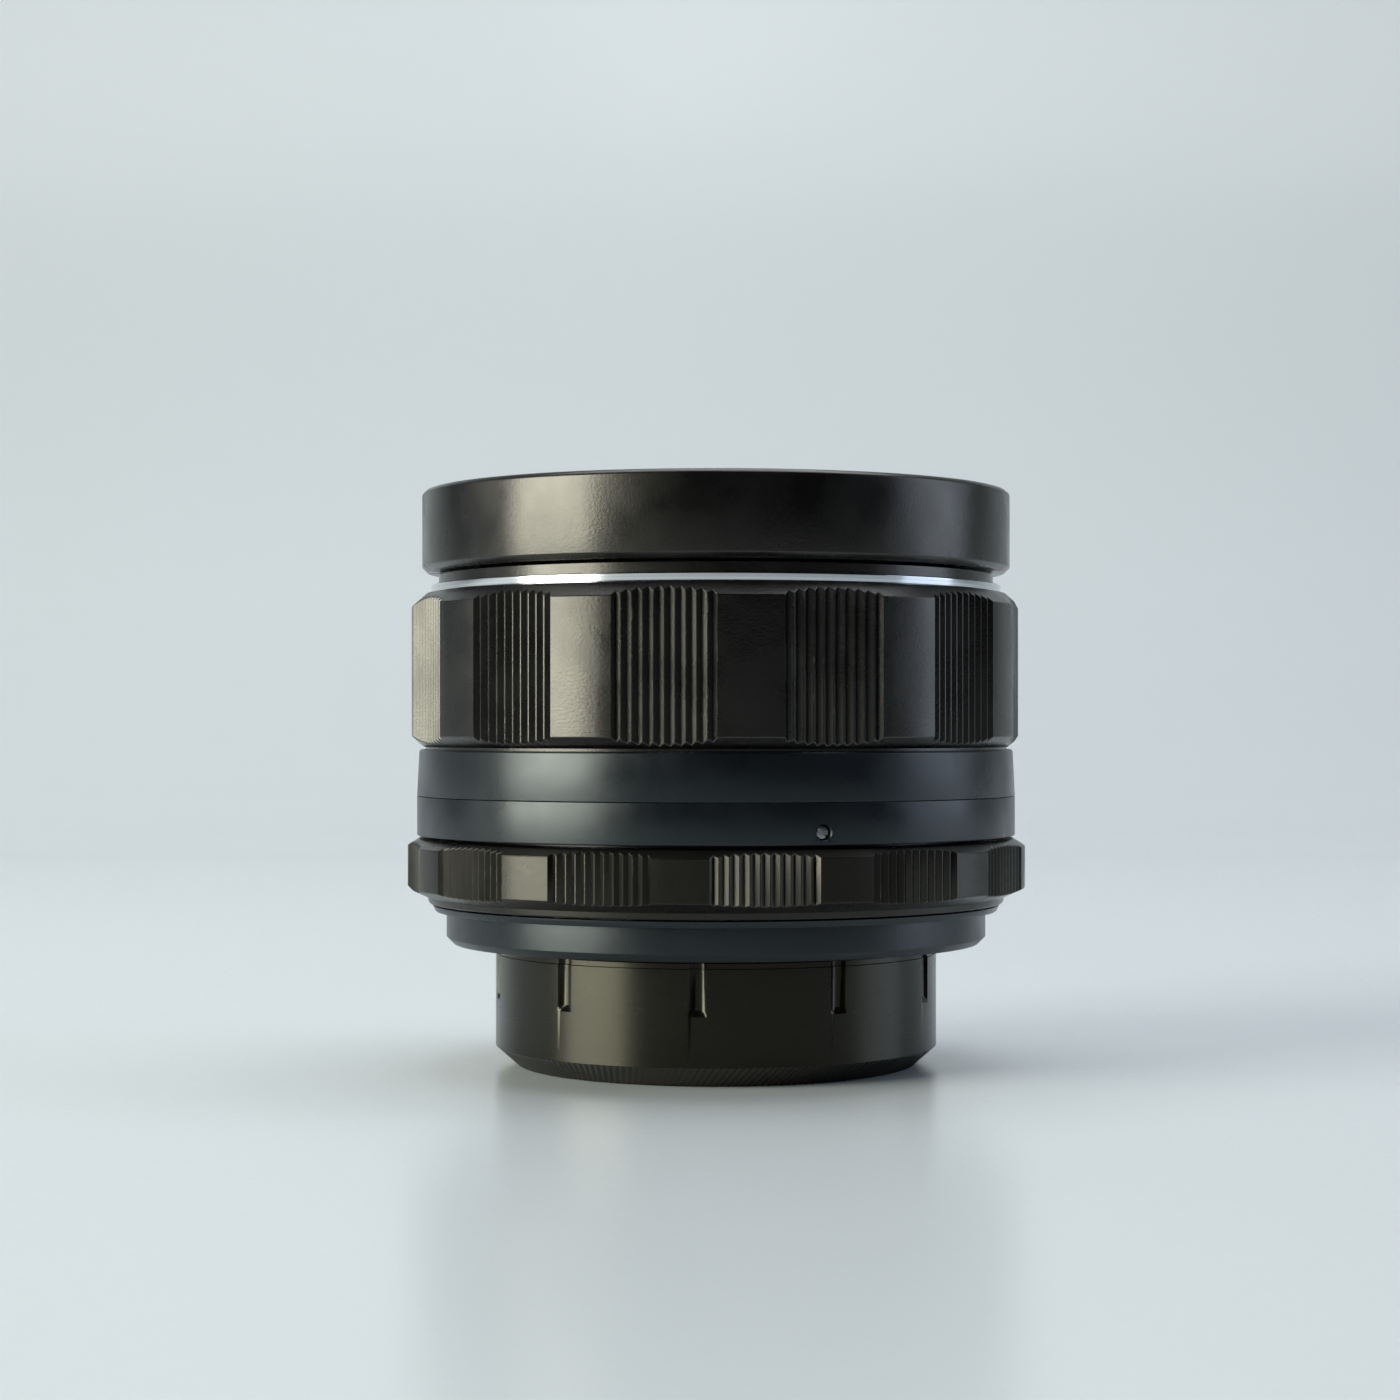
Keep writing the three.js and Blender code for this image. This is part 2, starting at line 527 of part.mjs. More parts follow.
// Focus helicoid: turns with the focus ring and drives the lens block forward.
{
  const ring = turned([
    [HELICOID.bore, HELICOID.bottom], [HELICOID.flangeRadius, HELICOID.bottom],
    [HELICOID.flangeRadius, HELICOID.flangeTop], [HELICOID.outer, HELICOID.flangeTop],
    [HELICOID.outer, HELICOID.top], [HELICOID.upperBore, HELICOID.top],
    [HELICOID.upperBore, HELICOID.ledge], [HELICOID.bore, HELICOID.ledge],
  ], INNER_SIDES);
  const hole = rod(HELICOID.bottom - PAST, [[HELICOID_SCREW.hole, HELICOID.flangeTop + PAST]]);
  const holes = HELICOID_SCREW.angles.map((angle) => atPolar(hole, HELICOID_SCREW.circle, angle));
  addPart('focus_helicoid_ring', cut(ring, ...holes), BRASS);
  const screw = rod(HELICOID_SCREW.tip, [
    [HELICOID_SCREW.shaft, HELICOID_SCREW.seat], [HELICOID_SCREW.head, HELICOID_SCREW.top],
  ]);
  HELICOID_SCREW.angles.forEach((angle, count) => {
    addPart(`helicoid_screw_${count + 1}`, atPolar(screw, HELICOID_SCREW.circle, angle), STEEL);
  });
}

// Focus sleeve: the neck that slides out of the focus ring, with a flange that carries the front cell.
addPart('focus_sleeve', turned([
  [SLEEVE.inner, SLEEVE.bottom], [SLEEVE.outer, SLEEVE.bottom], [SLEEVE.outer, SLEEVE.top],
  [SLEEVE.flangeInner, SLEEVE.top], [SLEEVE.flangeInner, SLEEVE.flangeZ], [SLEEVE.inner, SLEEVE.flangeZ],
], OUTER_SIDES), ANODISED);

// Filter ring: the front rim with its 58 mm thread.
addPart('filter_ring', turned([
  [FILTER.flangeInner, FILTER.bottom], [FILTER.radius - FILTER.chamfer, FILTER.bottom],
  [FILTER.radius, FILTER.bottom + FILTER.chamfer], [FILTER.radius, FILTER.edgeZ],
  [FILTER.topRadius, FILTER.top], [FILTER.mouthRadius, FILTER.top], [FILTER.threadRadius, FILTER.edgeZ],
  [FILTER.threadRadius, FILTER.threadZ], [FILTER.wall, FILTER.threadZ], [FILTER.wall, FILTER.flangeTop],
  [FILTER.flangeInner, FILTER.flangeTop],
], OUTER_SIDES), ANODISED);

// Name ring: a plain cone between the front glass and the filter thread.
addPart('name_ring', turned([
  [NAME.inner, NAME.innerZ], [NAME.outer, NAME.outerZ], [NAME.outer, NAME.outerZ + NAME.thickness],
  [NAME.inner, NAME.innerZ + NAME.thickness],
], OUTER_SIDES), SATIN_BLACK);

// Lens carrier: inner tube of the lens block, slotted for the two keys.
{
  const tube = plainRing(CARRIER.inner, CARRIER.outer, CARRIER.bottom, CARRIER.top);
  const slots = KEY.angles.map((angle) => radialBlock(
    CARRIER.inner - PAST, CARRIER.outer + PAST, KEY.width + 2 * GAP,
    CARRIER.slotBottom, CARRIER.slotTop, angle,
  ));
  addPart('lens_carrier', cut(tube, ...slots), INNER_BLACK);
}

// Front cell: stepped seat for the first three elements.
addPart('front_lens_cell', turned([
  [FRONT_CELL.lip, FRONT_CELL.bottom], [FRONT_CELL.outer, FRONT_CELL.bottom],
  [FRONT_CELL.outer, FRONT_CELL.flangeZ], [FRONT_CELL.flangeRadius, FRONT_CELL.flangeZ],
  [FRONT_CELL.flangeRadius, FRONT_CELL.top], [FRONT_CELL.boreC, FRONT_CELL.top],
  [FRONT_CELL.boreC, FRONT_CELL.stepB], [FRONT_CELL.boreB, FRONT_CELL.stepB],
  [FRONT_CELL.boreB, FRONT_CELL.stepA], [FRONT_CELL.boreA, FRONT_CELL.stepA],
  [FRONT_CELL.boreA, FRONT_CELL.lipTop], [FRONT_CELL.lip, FRONT_CELL.lipTop],
], INNER_SIDES), INNER_BLACK);

// Rear cell: tube for the last four elements, hanging from the iris base plate.
addPart('rear_lens_cell', turned([
  [REAR_CELL.bore, REAR_CELL.bottom], [REAR_CELL.outer, REAR_CELL.bottom],
  [REAR_CELL.outer, REAR_CELL.flangeZ], [REAR_CELL.flangeRadius, REAR_CELL.flangeZ],
  [REAR_CELL.flangeRadius, REAR_CELL.top], [REAR_CELL.lip, REAR_CELL.top],
  [REAR_CELL.lip, REAR_CELL.lipZ], [REAR_CELL.bore, REAR_CELL.lipZ],
], INNER_SIDES), INNER_BLACK);

for (const [name, [inner, outer, bottom, top]] of Object.entries(HOLDING_RINGS)) {
  addPart(name, plainRing(inner, outer, bottom, top), INNER_BLACK);
}

// Lens elements: ground glass discs with spherical faces.
function faceHeight(vertex, curve, radius) {
  const drop = Math.abs(curve) - Math.sqrt(curve * curve - radius * radius);
  return vertex - Math.sign(curve) * drop;
}

ELEMENTS.forEach((element, count) => {
  const { radius, front, frontCurve, rear, rearCurve } = element;
  const steps = 3;
  const face = (vertex, curve, rim) => {
    const points = [];
    for (let step = 0; step <= steps; step += 1) {
      const at = (rim * step) / steps;
      points.push([at, faceHeight(vertex, curve, at)]);
    }
    if (rim < radius) points.push([radius, points.at(-1)[1]]);
    return points;
  };
  const rearFace = face(rear, rearCurve, element.rearRim ?? radius);
  const frontFace = face(front, frontCurve, element.frontRim ?? radius);
  addPart(`lens_element_${count + 1}`, turned([...rearFace, ...frontFace.reverse()], GLASS_SIDES), GLASS);
});

// Iris base plate: carries the six blade pivots and leaves a window for the drive pin.
const pivotAngles = Array.from(
  { length: BLADE.count },
  (_, count) => BLADE.firstPivot + (360 / BLADE.count) * count,
);
{
  const plate = plainRing(PLATE.inner, PLATE.outer, PLATE.bottom, PLATE.top);
  const hole = rod(PLATE.bottom - PAST, [[BLADE.hole, PLATE.top + PAST]]);
  const holes = pivotAngles.map((angle) => atPolar(hole, BLADE.pivotRadius, angle));
  const window = sector(
    PLATE.window, PLATE.outer + PAST, PLATE.bottom - PAST, PLATE.top + PAST,
    LUG_ANGLE + RING_TRAVEL / 2, RING_TRAVEL + DRIVE.armWidth,
  );
  addPart('iris_base_plate', cut(plate, ...holes, window), BRASS);
}

// Iris drive ring: each cam slot follows its blade's pin as ring and blade turn against each other.
{
  const pivot = new THREE.Vector2(BLADE.pivotRadius, 0);
  const pinAtRest = new THREE.Vector2(
    BLADE.pinRadius * Math.cos(radians(BLADE.pinAngle)),
    -BLADE.pinRadius * Math.sin(radians(BLADE.pinAngle)),
  );
  const pinInRing = (t) => pinAtRest.clone()
    .rotateAround(pivot, radians(-BLADE_TRAVEL * t))
    .rotateAround(new THREE.Vector2(), radians(-RING_TRAVEL * t));
  const halfWidth = BLADE.hole;
  const steps = 4;
  const nudge = 0.01; // part of the travel over which the slot's direction is taken
  const leftSide = [];
  const rightSide = [];
  for (let step = 0; step <= steps; step += 1) {
    const t = step / steps;
    const point = pinInRing(t);
    const along = pinInRing(t + nudge).sub(pinInRing(t - nudge)).normalize();
    const across = new THREE.Vector2(-along.y, along.x).multiplyScalar(halfWidth);
    leftSide.push(point.clone().add(across));
    rightSide.push(point.clone().sub(across));
  }
  const slotShape = new THREE.Shape([...leftSide, ...rightSide.reverse()]);
  const slotEnd = rod(DRIVE.bottom - PAST, [[halfWidth, DRIVE.top + PAST]]);
  const roundEnd = (point) => slotEnd.clone().translate(point.x, point.y, 0);
  const slot = join(
    extruded(slotShape, DRIVE.bottom - PAST, DRIVE.top + PAST),
    roundEnd(pinInRing(0)),
    roundEnd(pinInRing(1)),
  );
  const slots = pivotAngles.map((angle) => slot.clone().rotateZ(radians(angle)));
  const ring = plainRing(DRIVE.inner, DRIVE.outer, DRIVE.bottom, DRIVE.top);
  const arm = sector(DRIVE.armRoot, DRIVE.armRadius, DRIVE.bottom, DRIVE.top, LUG_ANGLE, DRIVE.armWidth);
  const pinHole = atPolar(
    rod(DRIVE.bottom - PAST, [[DRIVE_PIN.hole, DRIVE.top + PAST]]), DRIVE_PIN.circle, LUG_ANGLE,
  );
  addPart('iris_drive_ring', cut(join(ring, arm), ...slots, pinHole), BRASS);
  const pin = rod(DRIVE_PIN.bottom, [[DRIVE_PIN.radius, DRIVE_PIN.top]]);
  addPart('iris_drive_pin', atPolar(pin, DRIVE_PIN.circle, LUG_ANGLE), STEEL);
}

// Iris blades: thin crescents that climb like a stair, so that each lies over the next one.
{
  const { inner, outer, pivotRadius, thickness } = BLADE;
  const at = (radius, angle) => [radius * Math.cos(radians(-angle)), radius * Math.sin(radians(-angle))];
  const outline = new THREE.Shape();
  outline.moveTo(...at(outer, BLADE.headWidth));
  outline.absarc(0, 0, outer, radians(-BLADE.headWidth), radians(-BLADE.end), true);
  outline.quadraticCurveTo(...at((inner + outer) / 2, BLADE.end + BLADE.tipReach), ...at(inner, BLADE.end));
  outline.absarc(0, 0, inner, radians(-BLADE.end), radians(-BLADE.shoulder), false);
  outline.quadraticCurveTo(...at(pivotRadius - BLADE.headDepth, 0), ...at(pivotRadius, -BLADE.headWidth));
  outline.quadraticCurveTo(...at(outer, -BLADE.headWidth / 2), ...at(outer, BLADE.headWidth));
  const leaf = extruded(outline, BLADE.bottom, BLADE.bottom + thickness, BLADE.arcSegments);
  const position = leaf.getAttribute('position');
  for (let vertex = 0; vertex < position.count; vertex += 1) {
    const angle = THREE.MathUtils.radToDeg(Math.atan2(-position.getY(vertex), position.getX(vertex)));
    const climb = Math.max(0, angle - BLADE.flatAngle) * BLADE.rise;
    position.setZ(vertex, position.getZ(vertex) + climb);
  }
  const pivotPin = rod(BLADE.pivotBottom, [[BLADE.pin, BLADE.rivetTop]]).translate(pivotRadius, 0, 0);
  const drivePin = rod(BLADE.pinBottom, [[BLADE.pin, BLADE.rivetTop]])
    .translate(...at(BLADE.pinRadius, BLADE.pinAngle), 0);
  const blade = join(leaf, pivotPin, drivePin);
  pivotAngles.forEach((angle, count) => {
    addPart(`iris_blade_${count + 1}`, blade.clone().rotateZ(radians(angle)), BLADE_STEEL);
  });
}

// Stop-down pin and its return spring, which a camera presses to close the iris.
{
  const pin = rod(STOP_PIN.tip, [
    [STOP_PIN.radius, STOP_PIN.collarZ], [STOP_PIN.collar, STOP_PIN.collarTop],
    [STOP_PIN.radius, STOP_PIN.top],
  ]);
  addPart('stop_down_pin', atPolar(pin, STOP_PIN.circle, STOP_PIN.angle), STEEL);
  addPart('stop_down_spring', atPolar(coilSpring(STOP_SPRING), STOP_PIN.circle, STOP_PIN.angle), STEEL);
}

// Automatic and manual switch: a knob outside the mount ring on a stem through its slot.
{
  const stem = sector(
    SWITCH.stemInner, SWITCH.knobInner + JOINED, SWITCH.stemBottom, SWITCH.top, SWITCH.angle,
    SWITCH.stemWidth,
  );
  const knob = sector(
    SWITCH.knobInner, SWITCH.knobOuter, SWITCH.knobBottom, SWITCH.top, SWITCH.angle, SWITCH.knobWidth,
  );
  addPart('auto_manual_switch', join(stem, knob), SATIN_BLACK);
}

export default lens;
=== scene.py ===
"""A manual focus camera lens with a screw mount, standing front up on its rear cap."""
import math

import bmesh
import bpy
from mathutils import Matrix, Vector


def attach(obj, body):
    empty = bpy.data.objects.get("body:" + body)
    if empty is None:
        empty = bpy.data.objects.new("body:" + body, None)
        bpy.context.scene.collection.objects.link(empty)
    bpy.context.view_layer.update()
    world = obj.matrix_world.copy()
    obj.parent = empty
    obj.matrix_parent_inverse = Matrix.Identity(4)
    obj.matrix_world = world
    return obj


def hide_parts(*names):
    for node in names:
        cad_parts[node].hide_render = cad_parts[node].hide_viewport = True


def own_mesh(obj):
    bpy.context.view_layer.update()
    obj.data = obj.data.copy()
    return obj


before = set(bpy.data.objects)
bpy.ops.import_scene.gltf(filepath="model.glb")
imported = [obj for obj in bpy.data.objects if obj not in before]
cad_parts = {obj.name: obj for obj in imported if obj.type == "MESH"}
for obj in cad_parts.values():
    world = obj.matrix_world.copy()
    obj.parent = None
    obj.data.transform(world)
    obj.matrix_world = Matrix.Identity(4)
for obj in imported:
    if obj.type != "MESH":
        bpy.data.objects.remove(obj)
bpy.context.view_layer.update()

MM = 0.001


# ------------------------------------------------------------------ camera
# A short telephoto view at the height of the focus ring, square on to the side with the set screw.
CAMERA_DISTANCE = 0.2905
CAMERA_HEIGHT = 0.0349
CAMERA_LENS = 72.0  # mm, on a 36 mm wide frame
CAMERA_SHIFT_X = -0.0114
CAMERA_SHIFT_Y = 0.0176

camera_data = bpy.data.cameras.new("camera")
camera_data.lens = CAMERA_LENS
camera_data.sensor_width = 36.0
camera_data.shift_x = CAMERA_SHIFT_X
camera_data.shift_y = CAMERA_SHIFT_Y
camera_data.clip_start = 0.01
camera_data.clip_end = 20.0
camera = bpy.data.objects.new("camera", camera_data)
camera.location = (0.0, -CAMERA_DISTANCE, CAMERA_HEIGHT)
camera.rotation_euler = (math.radians(90.0), 0.0, 0.0)
bpy.context.scene.collection.objects.link(camera)
bpy.context.scene.camera = camera
bpy.context.scene.view_settings.view_transform = "Standard"


# ------------------------------------------------------------------ floor and light
# A pale laminate table top: low gloss, so that the cap shows in it as a soft, faint mirror image.
def to_linear(hex_colour):
    """sRGB hex text, such as 'cfd5d8', as linear red, green, blue and alpha."""
    channels = [int(hex_colour[i : i + 2], 16) / 255.0 for i in (0, 2, 4)]
    return tuple(c / 12.92 if c <= 0.04045 else ((c + 0.055) / 1.055) ** 2.4 for c in channels) + (1.0,)


def add_node(tree, kind, settings=None, inputs=None, links=None):
    """Adds a node, sets its properties and sockets, and links sockets from other nodes' outputs."""
    node = tree.nodes.new(kind)
    for key, value in (settings or {}).items():
        setattr(node, key, value)
    for key, value in (inputs or {}).items():
        node.inputs[key].default_value = value
    for key, output in (links or {}).items():
        tree.links.new(output, node.inputs[key])
    return node


def new_material(name, surface):
    """A material with a Principled shader whose fixed sockets are set, and its node tree."""
    material = bpy.data.materials.new(name)
    material.use_nodes = True
    tree = material.node_tree
    shader = tree.nodes["Principled BSDF"]
    for key, value in surface.items():
        shader.inputs[key].default_value = value
    return material, tree, shader


def ramp_between(tree, factor, stops):
    """A colour ramp from (position, colour) stops."""
    node = add_node(tree, "ShaderNodeValToRGB", links={"Fac": factor})
    elements = node.color_ramp.elements
    elements[0].position, elements[0].color = stops[0]
    elements[1].position, elements[1].color = stops[-1]
    for position, colour in stops[1:-1]:
        elements.new(position).color = colour
    return node


FLOOR_HALF_WIDTH = 2.5
FLOOR_FRONT = -2.5
SWEEP_START = 0.45  # where the sheet begins to curve up behind the lens
SWEEP_RADIUS = 0.6
WALL_HEIGHT = 2.6
TABLE_GRAIN = 900.0  # cells per metre: specks about 1 mm across

floor_shape = bmesh.new()
sheet_line = [(FLOOR_FRONT, 0.0), (SWEEP_START, 0.0)]
for step in range(1, 17):
    bend = math.radians(90.0 * step / 16)
    sheet_line.append(
        (SWEEP_START + SWEEP_RADIUS * math.sin(bend), SWEEP_RADIUS * (1.0 - math.cos(bend)))
    )
sheet_line.append((SWEEP_START + SWEEP_RADIUS, WALL_HEIGHT))
edge_points = [floor_shape.verts.new((-FLOOR_HALF_WIDTH, y, z)) for y, z in sheet_line]
sheet_edges = [floor_shape.edges.new(pair) for pair in zip(edge_points, edge_points[1:])]
swept = bmesh.ops.extrude_edge_only(floor_shape, edges=sheet_edges)
moved = [item for item in swept["geom"] if isinstance(item, bmesh.types.BMVert)]
bmesh.ops.translate(floor_shape, vec=(2 * FLOOR_HALF_WIDTH, 0.0, 0.0), verts=moved)
bmesh.ops.recalc_face_normals(floor_shape, faces=floor_shape.faces)
for face in floor_shape.faces:
    face.smooth = True
floor_mesh = bpy.data.meshes.new("floor")
floor_shape.to_mesh(floor_mesh)
floor_shape.free()
floor = bpy.data.objects.new("floor", floor_mesh)
floor.location = (0.0, 0.0, -0.00005)
bpy.context.scene.collection.objects.link(floor)

table_top, tree, shader = new_material(
    "pale_laminate", {"Base Color": to_linear("d2d8da"), "Roughness": 0.24, "IOR": 1.45}
)
place = add_node(tree, "ShaderNodeTexCoord").outputs["Object"]
specks = add_node(
    tree, "ShaderNodeTexNoise", inputs={"Scale": TABLE_GRAIN, "Detail": 2.0}, links={"Vector": place}
)
gloss = ramp_between(
    tree, specks.outputs["Fac"], [(0.35, (0.235, 0.235, 0.235, 1.0)), (0.65, (0.25, 0.25, 0.25, 1.0))]
)
tree.links.new(gloss.outputs["Color"], shader.inputs["Roughness"])
floor_mesh.materials.append(table_top)

# The room is pale behind and beside the lens and darker in front, as a small studio is. That grading
# lights the lens. Where the room itself is in view, it is one plain pale colour.
world = bpy.data.worlds.new("studio")
bpy.context.scene.world = world
world.use_nodes = True
tree = world.node_tree
background = tree.nodes["Background"]
background.inputs["Strength"].default_value = 1.0
direction = add_node(tree, "ShaderNodeTexCoord").outputs["Generated"]
split = add_node(tree, "ShaderNodeSeparateXYZ", links={"Vector": direction})
room_light = ramp_between(
    tree,
    add_node(
        tree, "ShaderNodeMath", {"operation": "MULTIPLY_ADD"}, {1: 0.5, 2: 0.5}, {0: split.outputs["Y"]}
    ).outputs["Value"],
    [
        (0.2, (0.012, 0.01, 0.011, 1.0)),
        (0.38, (0.07, 0.08, 0.095, 1.0)),
        (0.55, (0.38, 0.42, 0.45, 1.0)),
        (0.75, (0.52, 0.56, 0.58, 1.0)),
    ],
)
seen = add_node(tree, "ShaderNodeLightPath").outputs["Is Camera Ray"]
studio_colour = add_node(
    tree,
    "ShaderNodeMix",
    {"data_type": "RGBA"},
    links={"Factor": seen, "A": room_light.outputs["Color"]},
)
studio_colour.inputs["B"].default_value = to_linear("cfd5d8")
tree.links.new(studio_colour.outputs["Result"], background.inputs["Color"])


def area_light(name, place_at, aim_at, size, power, colour):
    """A soft rectangular light, size in metres and power in watts."""
    data = bpy.data.lights.new(name, "AREA")
    data.shape = "RECTANGLE"
    data.size, data.size_y = size
    data.energy = power
    data.color = to_linear(colour)[:3]
    light = bpy.data.objects.new(name, data)
    light.location = place_at
    light.rotation_euler = (Vector(aim_at) - Vector(place_at)).to_track_quat("-Z", "Y").to_euler()
    bpy.context.scene.collection.objects.link(light)
    return light


# A warm key light stands to the left. A weak cool light, a large overhead light, a light for the sheet
# behind and a dim card in front fill in the rest.
LENS_MIDDLE = (0.0, 0.0, 0.035)
area_light("warm_softbox", (-0.87, -0.42, 0.28), LENS_MIDDLE, (0.62, 0.56), 14.0, "fffff1")
area_light("cool_softbox", (0.75, 0.02, 0.25), LENS_MIDDLE, (0.4, 0.5), 1.3, "dbe8ff")
area_light("top_softbox", (0.1, 0.15, 1.0), LENS_MIDDLE, (0.9, 0.9), 4.2, "f4f7ff")
area_light("backdrop_light", (0.0, 0.35, 1.5), (0.0, 1.0, 0.45), (1.8, 0.6), 8.2, "f2f6fa")
area_light("front_card", (0.0, -0.9, 0.56), LENS_MIDDLE, (1.7, 0.13), 0.12, "d6eef2")


# ------------------------------------------------------------------ rear cap
# Screw-in cap moulded in black plastic: a cup with fine slanted teeth on its chamfered foot and
# ten scooped grip notches. It has picked up small rubbed scratches.
CAP_FOOT = 20.5
CAP_RADIUS = 22.76
CAP_CHAMFER_TOP = 2.0
CAP_TOP = 12.2
CAP_BORE = 21.3
CAP_FLOOR = 1.8
CAP_RECESS = (16.5, 0.5)
CAP_TEETH = 200
CAP_TOOTH_DEPTH = 0.28
CAP_TOOTH_SLANT = 3.2  # degrees that a tooth leans from foot to top of chamfer
CAP_NOTCHES = 10
CAP_FIRST_NOTCH = -94.4
CAP_NOTCH_HALF = 0.82
CAP_NOTCH_DEPTH = 0.5
CAP_NOTCH_BOTTOM = 6.9


def finish_piece(name, shape, material, body, replaced, smooth_angle=40.0):
    """Turns a bmesh in millimetres into a piece on a body, shaded smooth up to an angle."""
    bmesh.ops.remove_doubles(shape, verts=shape.verts, dist=1e-4)
    bmesh.ops.recalc_face_normals(shape, faces=shape.faces)
    bmesh.ops.scale(shape, vec=(MM, MM, MM), verts=shape.verts)
    for edge in shape.edges:
        edge.smooth = edge.calc_face_angle(0.0) < math.radians(smooth_angle)
    for face in shape.faces:
        face.smooth = True
    mesh = bpy.data.meshes.new(name)
    shape.to_mesh(mesh)
    shape.free()
    mesh.materials.append(material)
    piece = bpy.data.objects.new(name, mesh)
    bpy.context.scene.collection.objects.link(piece)
    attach(piece, body)
    if replaced:
        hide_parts(*replaced)
    return piece


def spin_outline(outline, steps, rounding=None):
    """Spins an outline of (radius, height) points about Z. rounding gives {point: size} for corners."""
    shape = bmesh.new()
    points = [shape.verts.new((radius, 0.0, height)) for radius, height in outline]
    on_axis = outline[0][0] == 0.0 and outline[-1][0] == 0.0
    for first, second in zip(points, points[1:]):
        shape.edges.new((first, second))
    if not on_axis:
        shape.edges.new((points[-1], points[0]))
    for size in sorted(set((rounding or {}).values())):
        corners = [points[at] for at, amount in rounding.items() if amount == size]
        bmesh.ops.bevel(
            shape, geom=corners, offset=size, segments=3, profile=0.5, affect="VERTICES", material=-1
        )
    bmesh.ops.spin(
        shape,
        geom=shape.verts[:] + shape.edges[:],
        cent=(0.0, 0.0, 0.0),
        axis=(0.0, 0.0, 1.0),
        angle=math.tau,
        steps=steps,
        use_merge=True,
    )
    bmesh.ops.remove_doubles(shape, verts=shape.verts, dist=1e-4)
    bmesh.ops.recalc_face_normals(shape, faces=shape.faces)
    return shape


def polar(vertex):
    """A vertex's radius and its angle in degrees."""
    return math.hypot(vertex.co.x, vertex.co.y), math.degrees(math.atan2(vertex.co.y, vertex.co.x))


def place_polar(vertex, radius, angle):
    """Moves a vertex level to a radius and an angle in degrees."""
    vertex.co.x = radius * math.cos(math.radians(angle))
    vertex.co.y = radius * math.sin(math.radians(angle))


def scratched_plastic():
    """Black ABS, moulded: a low gloss skin with faint flow marks and hairline scratches."""
    material, tree, shader = new_material(
        "moulded_black_abs", {"Roughness": 0.3, "IOR": 1.42, "Specular Tint": to_linear("f4efd6")}
    )
    place = add_node(tree, "ShaderNodeTexCoord").outputs["Object"]
    flow = add_node(
        tree, "ShaderNodeTexNoise", inputs={"Scale": 140.0, "Detail": 4.0}, links={"Vector": place}
    )
    colour = ramp_between(
        tree, flow.outputs["Fac"], [(0.3, to_linear("070806")), (0.7, to_linear("0c0d09"))]
    )
    tree.links.new(colour.outputs["Color"], shader.inputs["Base Color"])
    stretched = add_node(
        tree, "ShaderNodeMapping", inputs={"Scale": (1.0, 1.0, 9.0), "Rotation": (0.5, 0.35, 0.2)},
        links={"Vector": place},
    )
    hairlines = add_node(
        tree, "ShaderNodeTexNoise", inputs={"Scale": 260.0, "Detail": 6.0, "Roughness": 0.75},
        links={"Vector": stretched.outputs["Vector"]},
    )
    rubbed = ramp_between(
        tree, hairlines.outputs["Fac"],
        [(0.5, (0.25, 0.25, 0.25, 1.0)), (0.66, (0.28, 0.28, 0.28, 1.0)), (0.74, (0.42, 0.42, 0.42, 1.0))],
    )
    tree.links.new(rubbed.outputs["Color"], shader.inputs["Roughness"])
    bump = add_node(
        tree, "ShaderNodeBump", inputs={"Strength": 0.03, "Distance": 0.00005},
        links={"Height": hairlines.outputs["Fac"]},
    )
    tree.links.new(bump.outputs["Normal"], shader.inputs["Normal"])
    return material


CAP_COLUMNS = CAP_TEETH * 4
black_plastic = scratched_plastic()
cap = spin_outline(
    [
        (0.0, CAP_RECESS[1]), (CAP_RECESS[0], CAP_RECESS[1]), (CAP_RECESS[0] + 0.4, 0.0),
        (CAP_FOOT, 0.0), (CAP_RADIUS, CAP_CHAMFER_TOP), (CAP_RADIUS, CAP_CHAMFER_TOP + 0.25),
        (CAP_RADIUS, CAP_NOTCH_BOTTOM), (CAP_RADIUS, CAP_NOTCH_BOTTOM + 0.25),
        (CAP_RADIUS, CAP_NOTCH_BOTTOM + 0.6), (CAP_RADIUS, CAP_TOP - 0.75),
        (CAP_RADIUS - 0.07, CAP_TOP - 0.68), (CAP_RADIUS - 0.07, CAP_TOP - 0.2),
        (CAP_RADIUS - 0.25, CAP_TOP), (CAP_BORE, CAP_TOP),
        (CAP_BORE, CAP_FLOOR), (0.0, CAP_FLOOR),
    ],
    CAP_COLUMNS,
)
for vertex in cap.verts:
    radius, angle = polar(vertex)
    height = vertex.co.z
    if radius < CAP_FOOT - 0.05 or (radius < CAP_BORE + 0.1 and height > CAP_CHAMFER_TOP):
        continue
    if height < CAP_CHAMFER_TOP + 0.01:
        column = round(angle * CAP_COLUMNS / 360.0)
        tooth = (0.0, 0.5, 1.0, 0.5)[column % 4] if height < CAP_CHAMFER_TOP - 0.01 else 0.0
        lean = CAP_TOOTH_SLANT * (CAP_CHAMFER_TOP - height) / CAP_CHAMFER_TOP
        place_polar(vertex, radius - tooth * CAP_TOOTH_DEPTH, angle - lean)
        continue
    if height < CAP_NOTCH_BOTTOM + 0.2:
        continue
    from_notch = (angle - CAP_FIRST_NOTCH + 18.0) % (360.0 / CAP_NOTCHES) - 18.0
    across = abs(math.radians(from_notch)) * CAP_RADIUS / CAP_NOTCH_HALF
    if across < 1.0:
        scoop = CAP_NOTCH_DEPTH * math.sqrt(1.0 - across * across)
        rounded_end = 0.55 if height < CAP_NOTCH_BOTTOM + 0.5 else 1.0
        place_polar(vertex, radius - scoop * rounded_end, angle)
finish_piece("rear_cap_moulding", cap, black_plastic, "rear_cap", ["rear_cap"], 28.0)

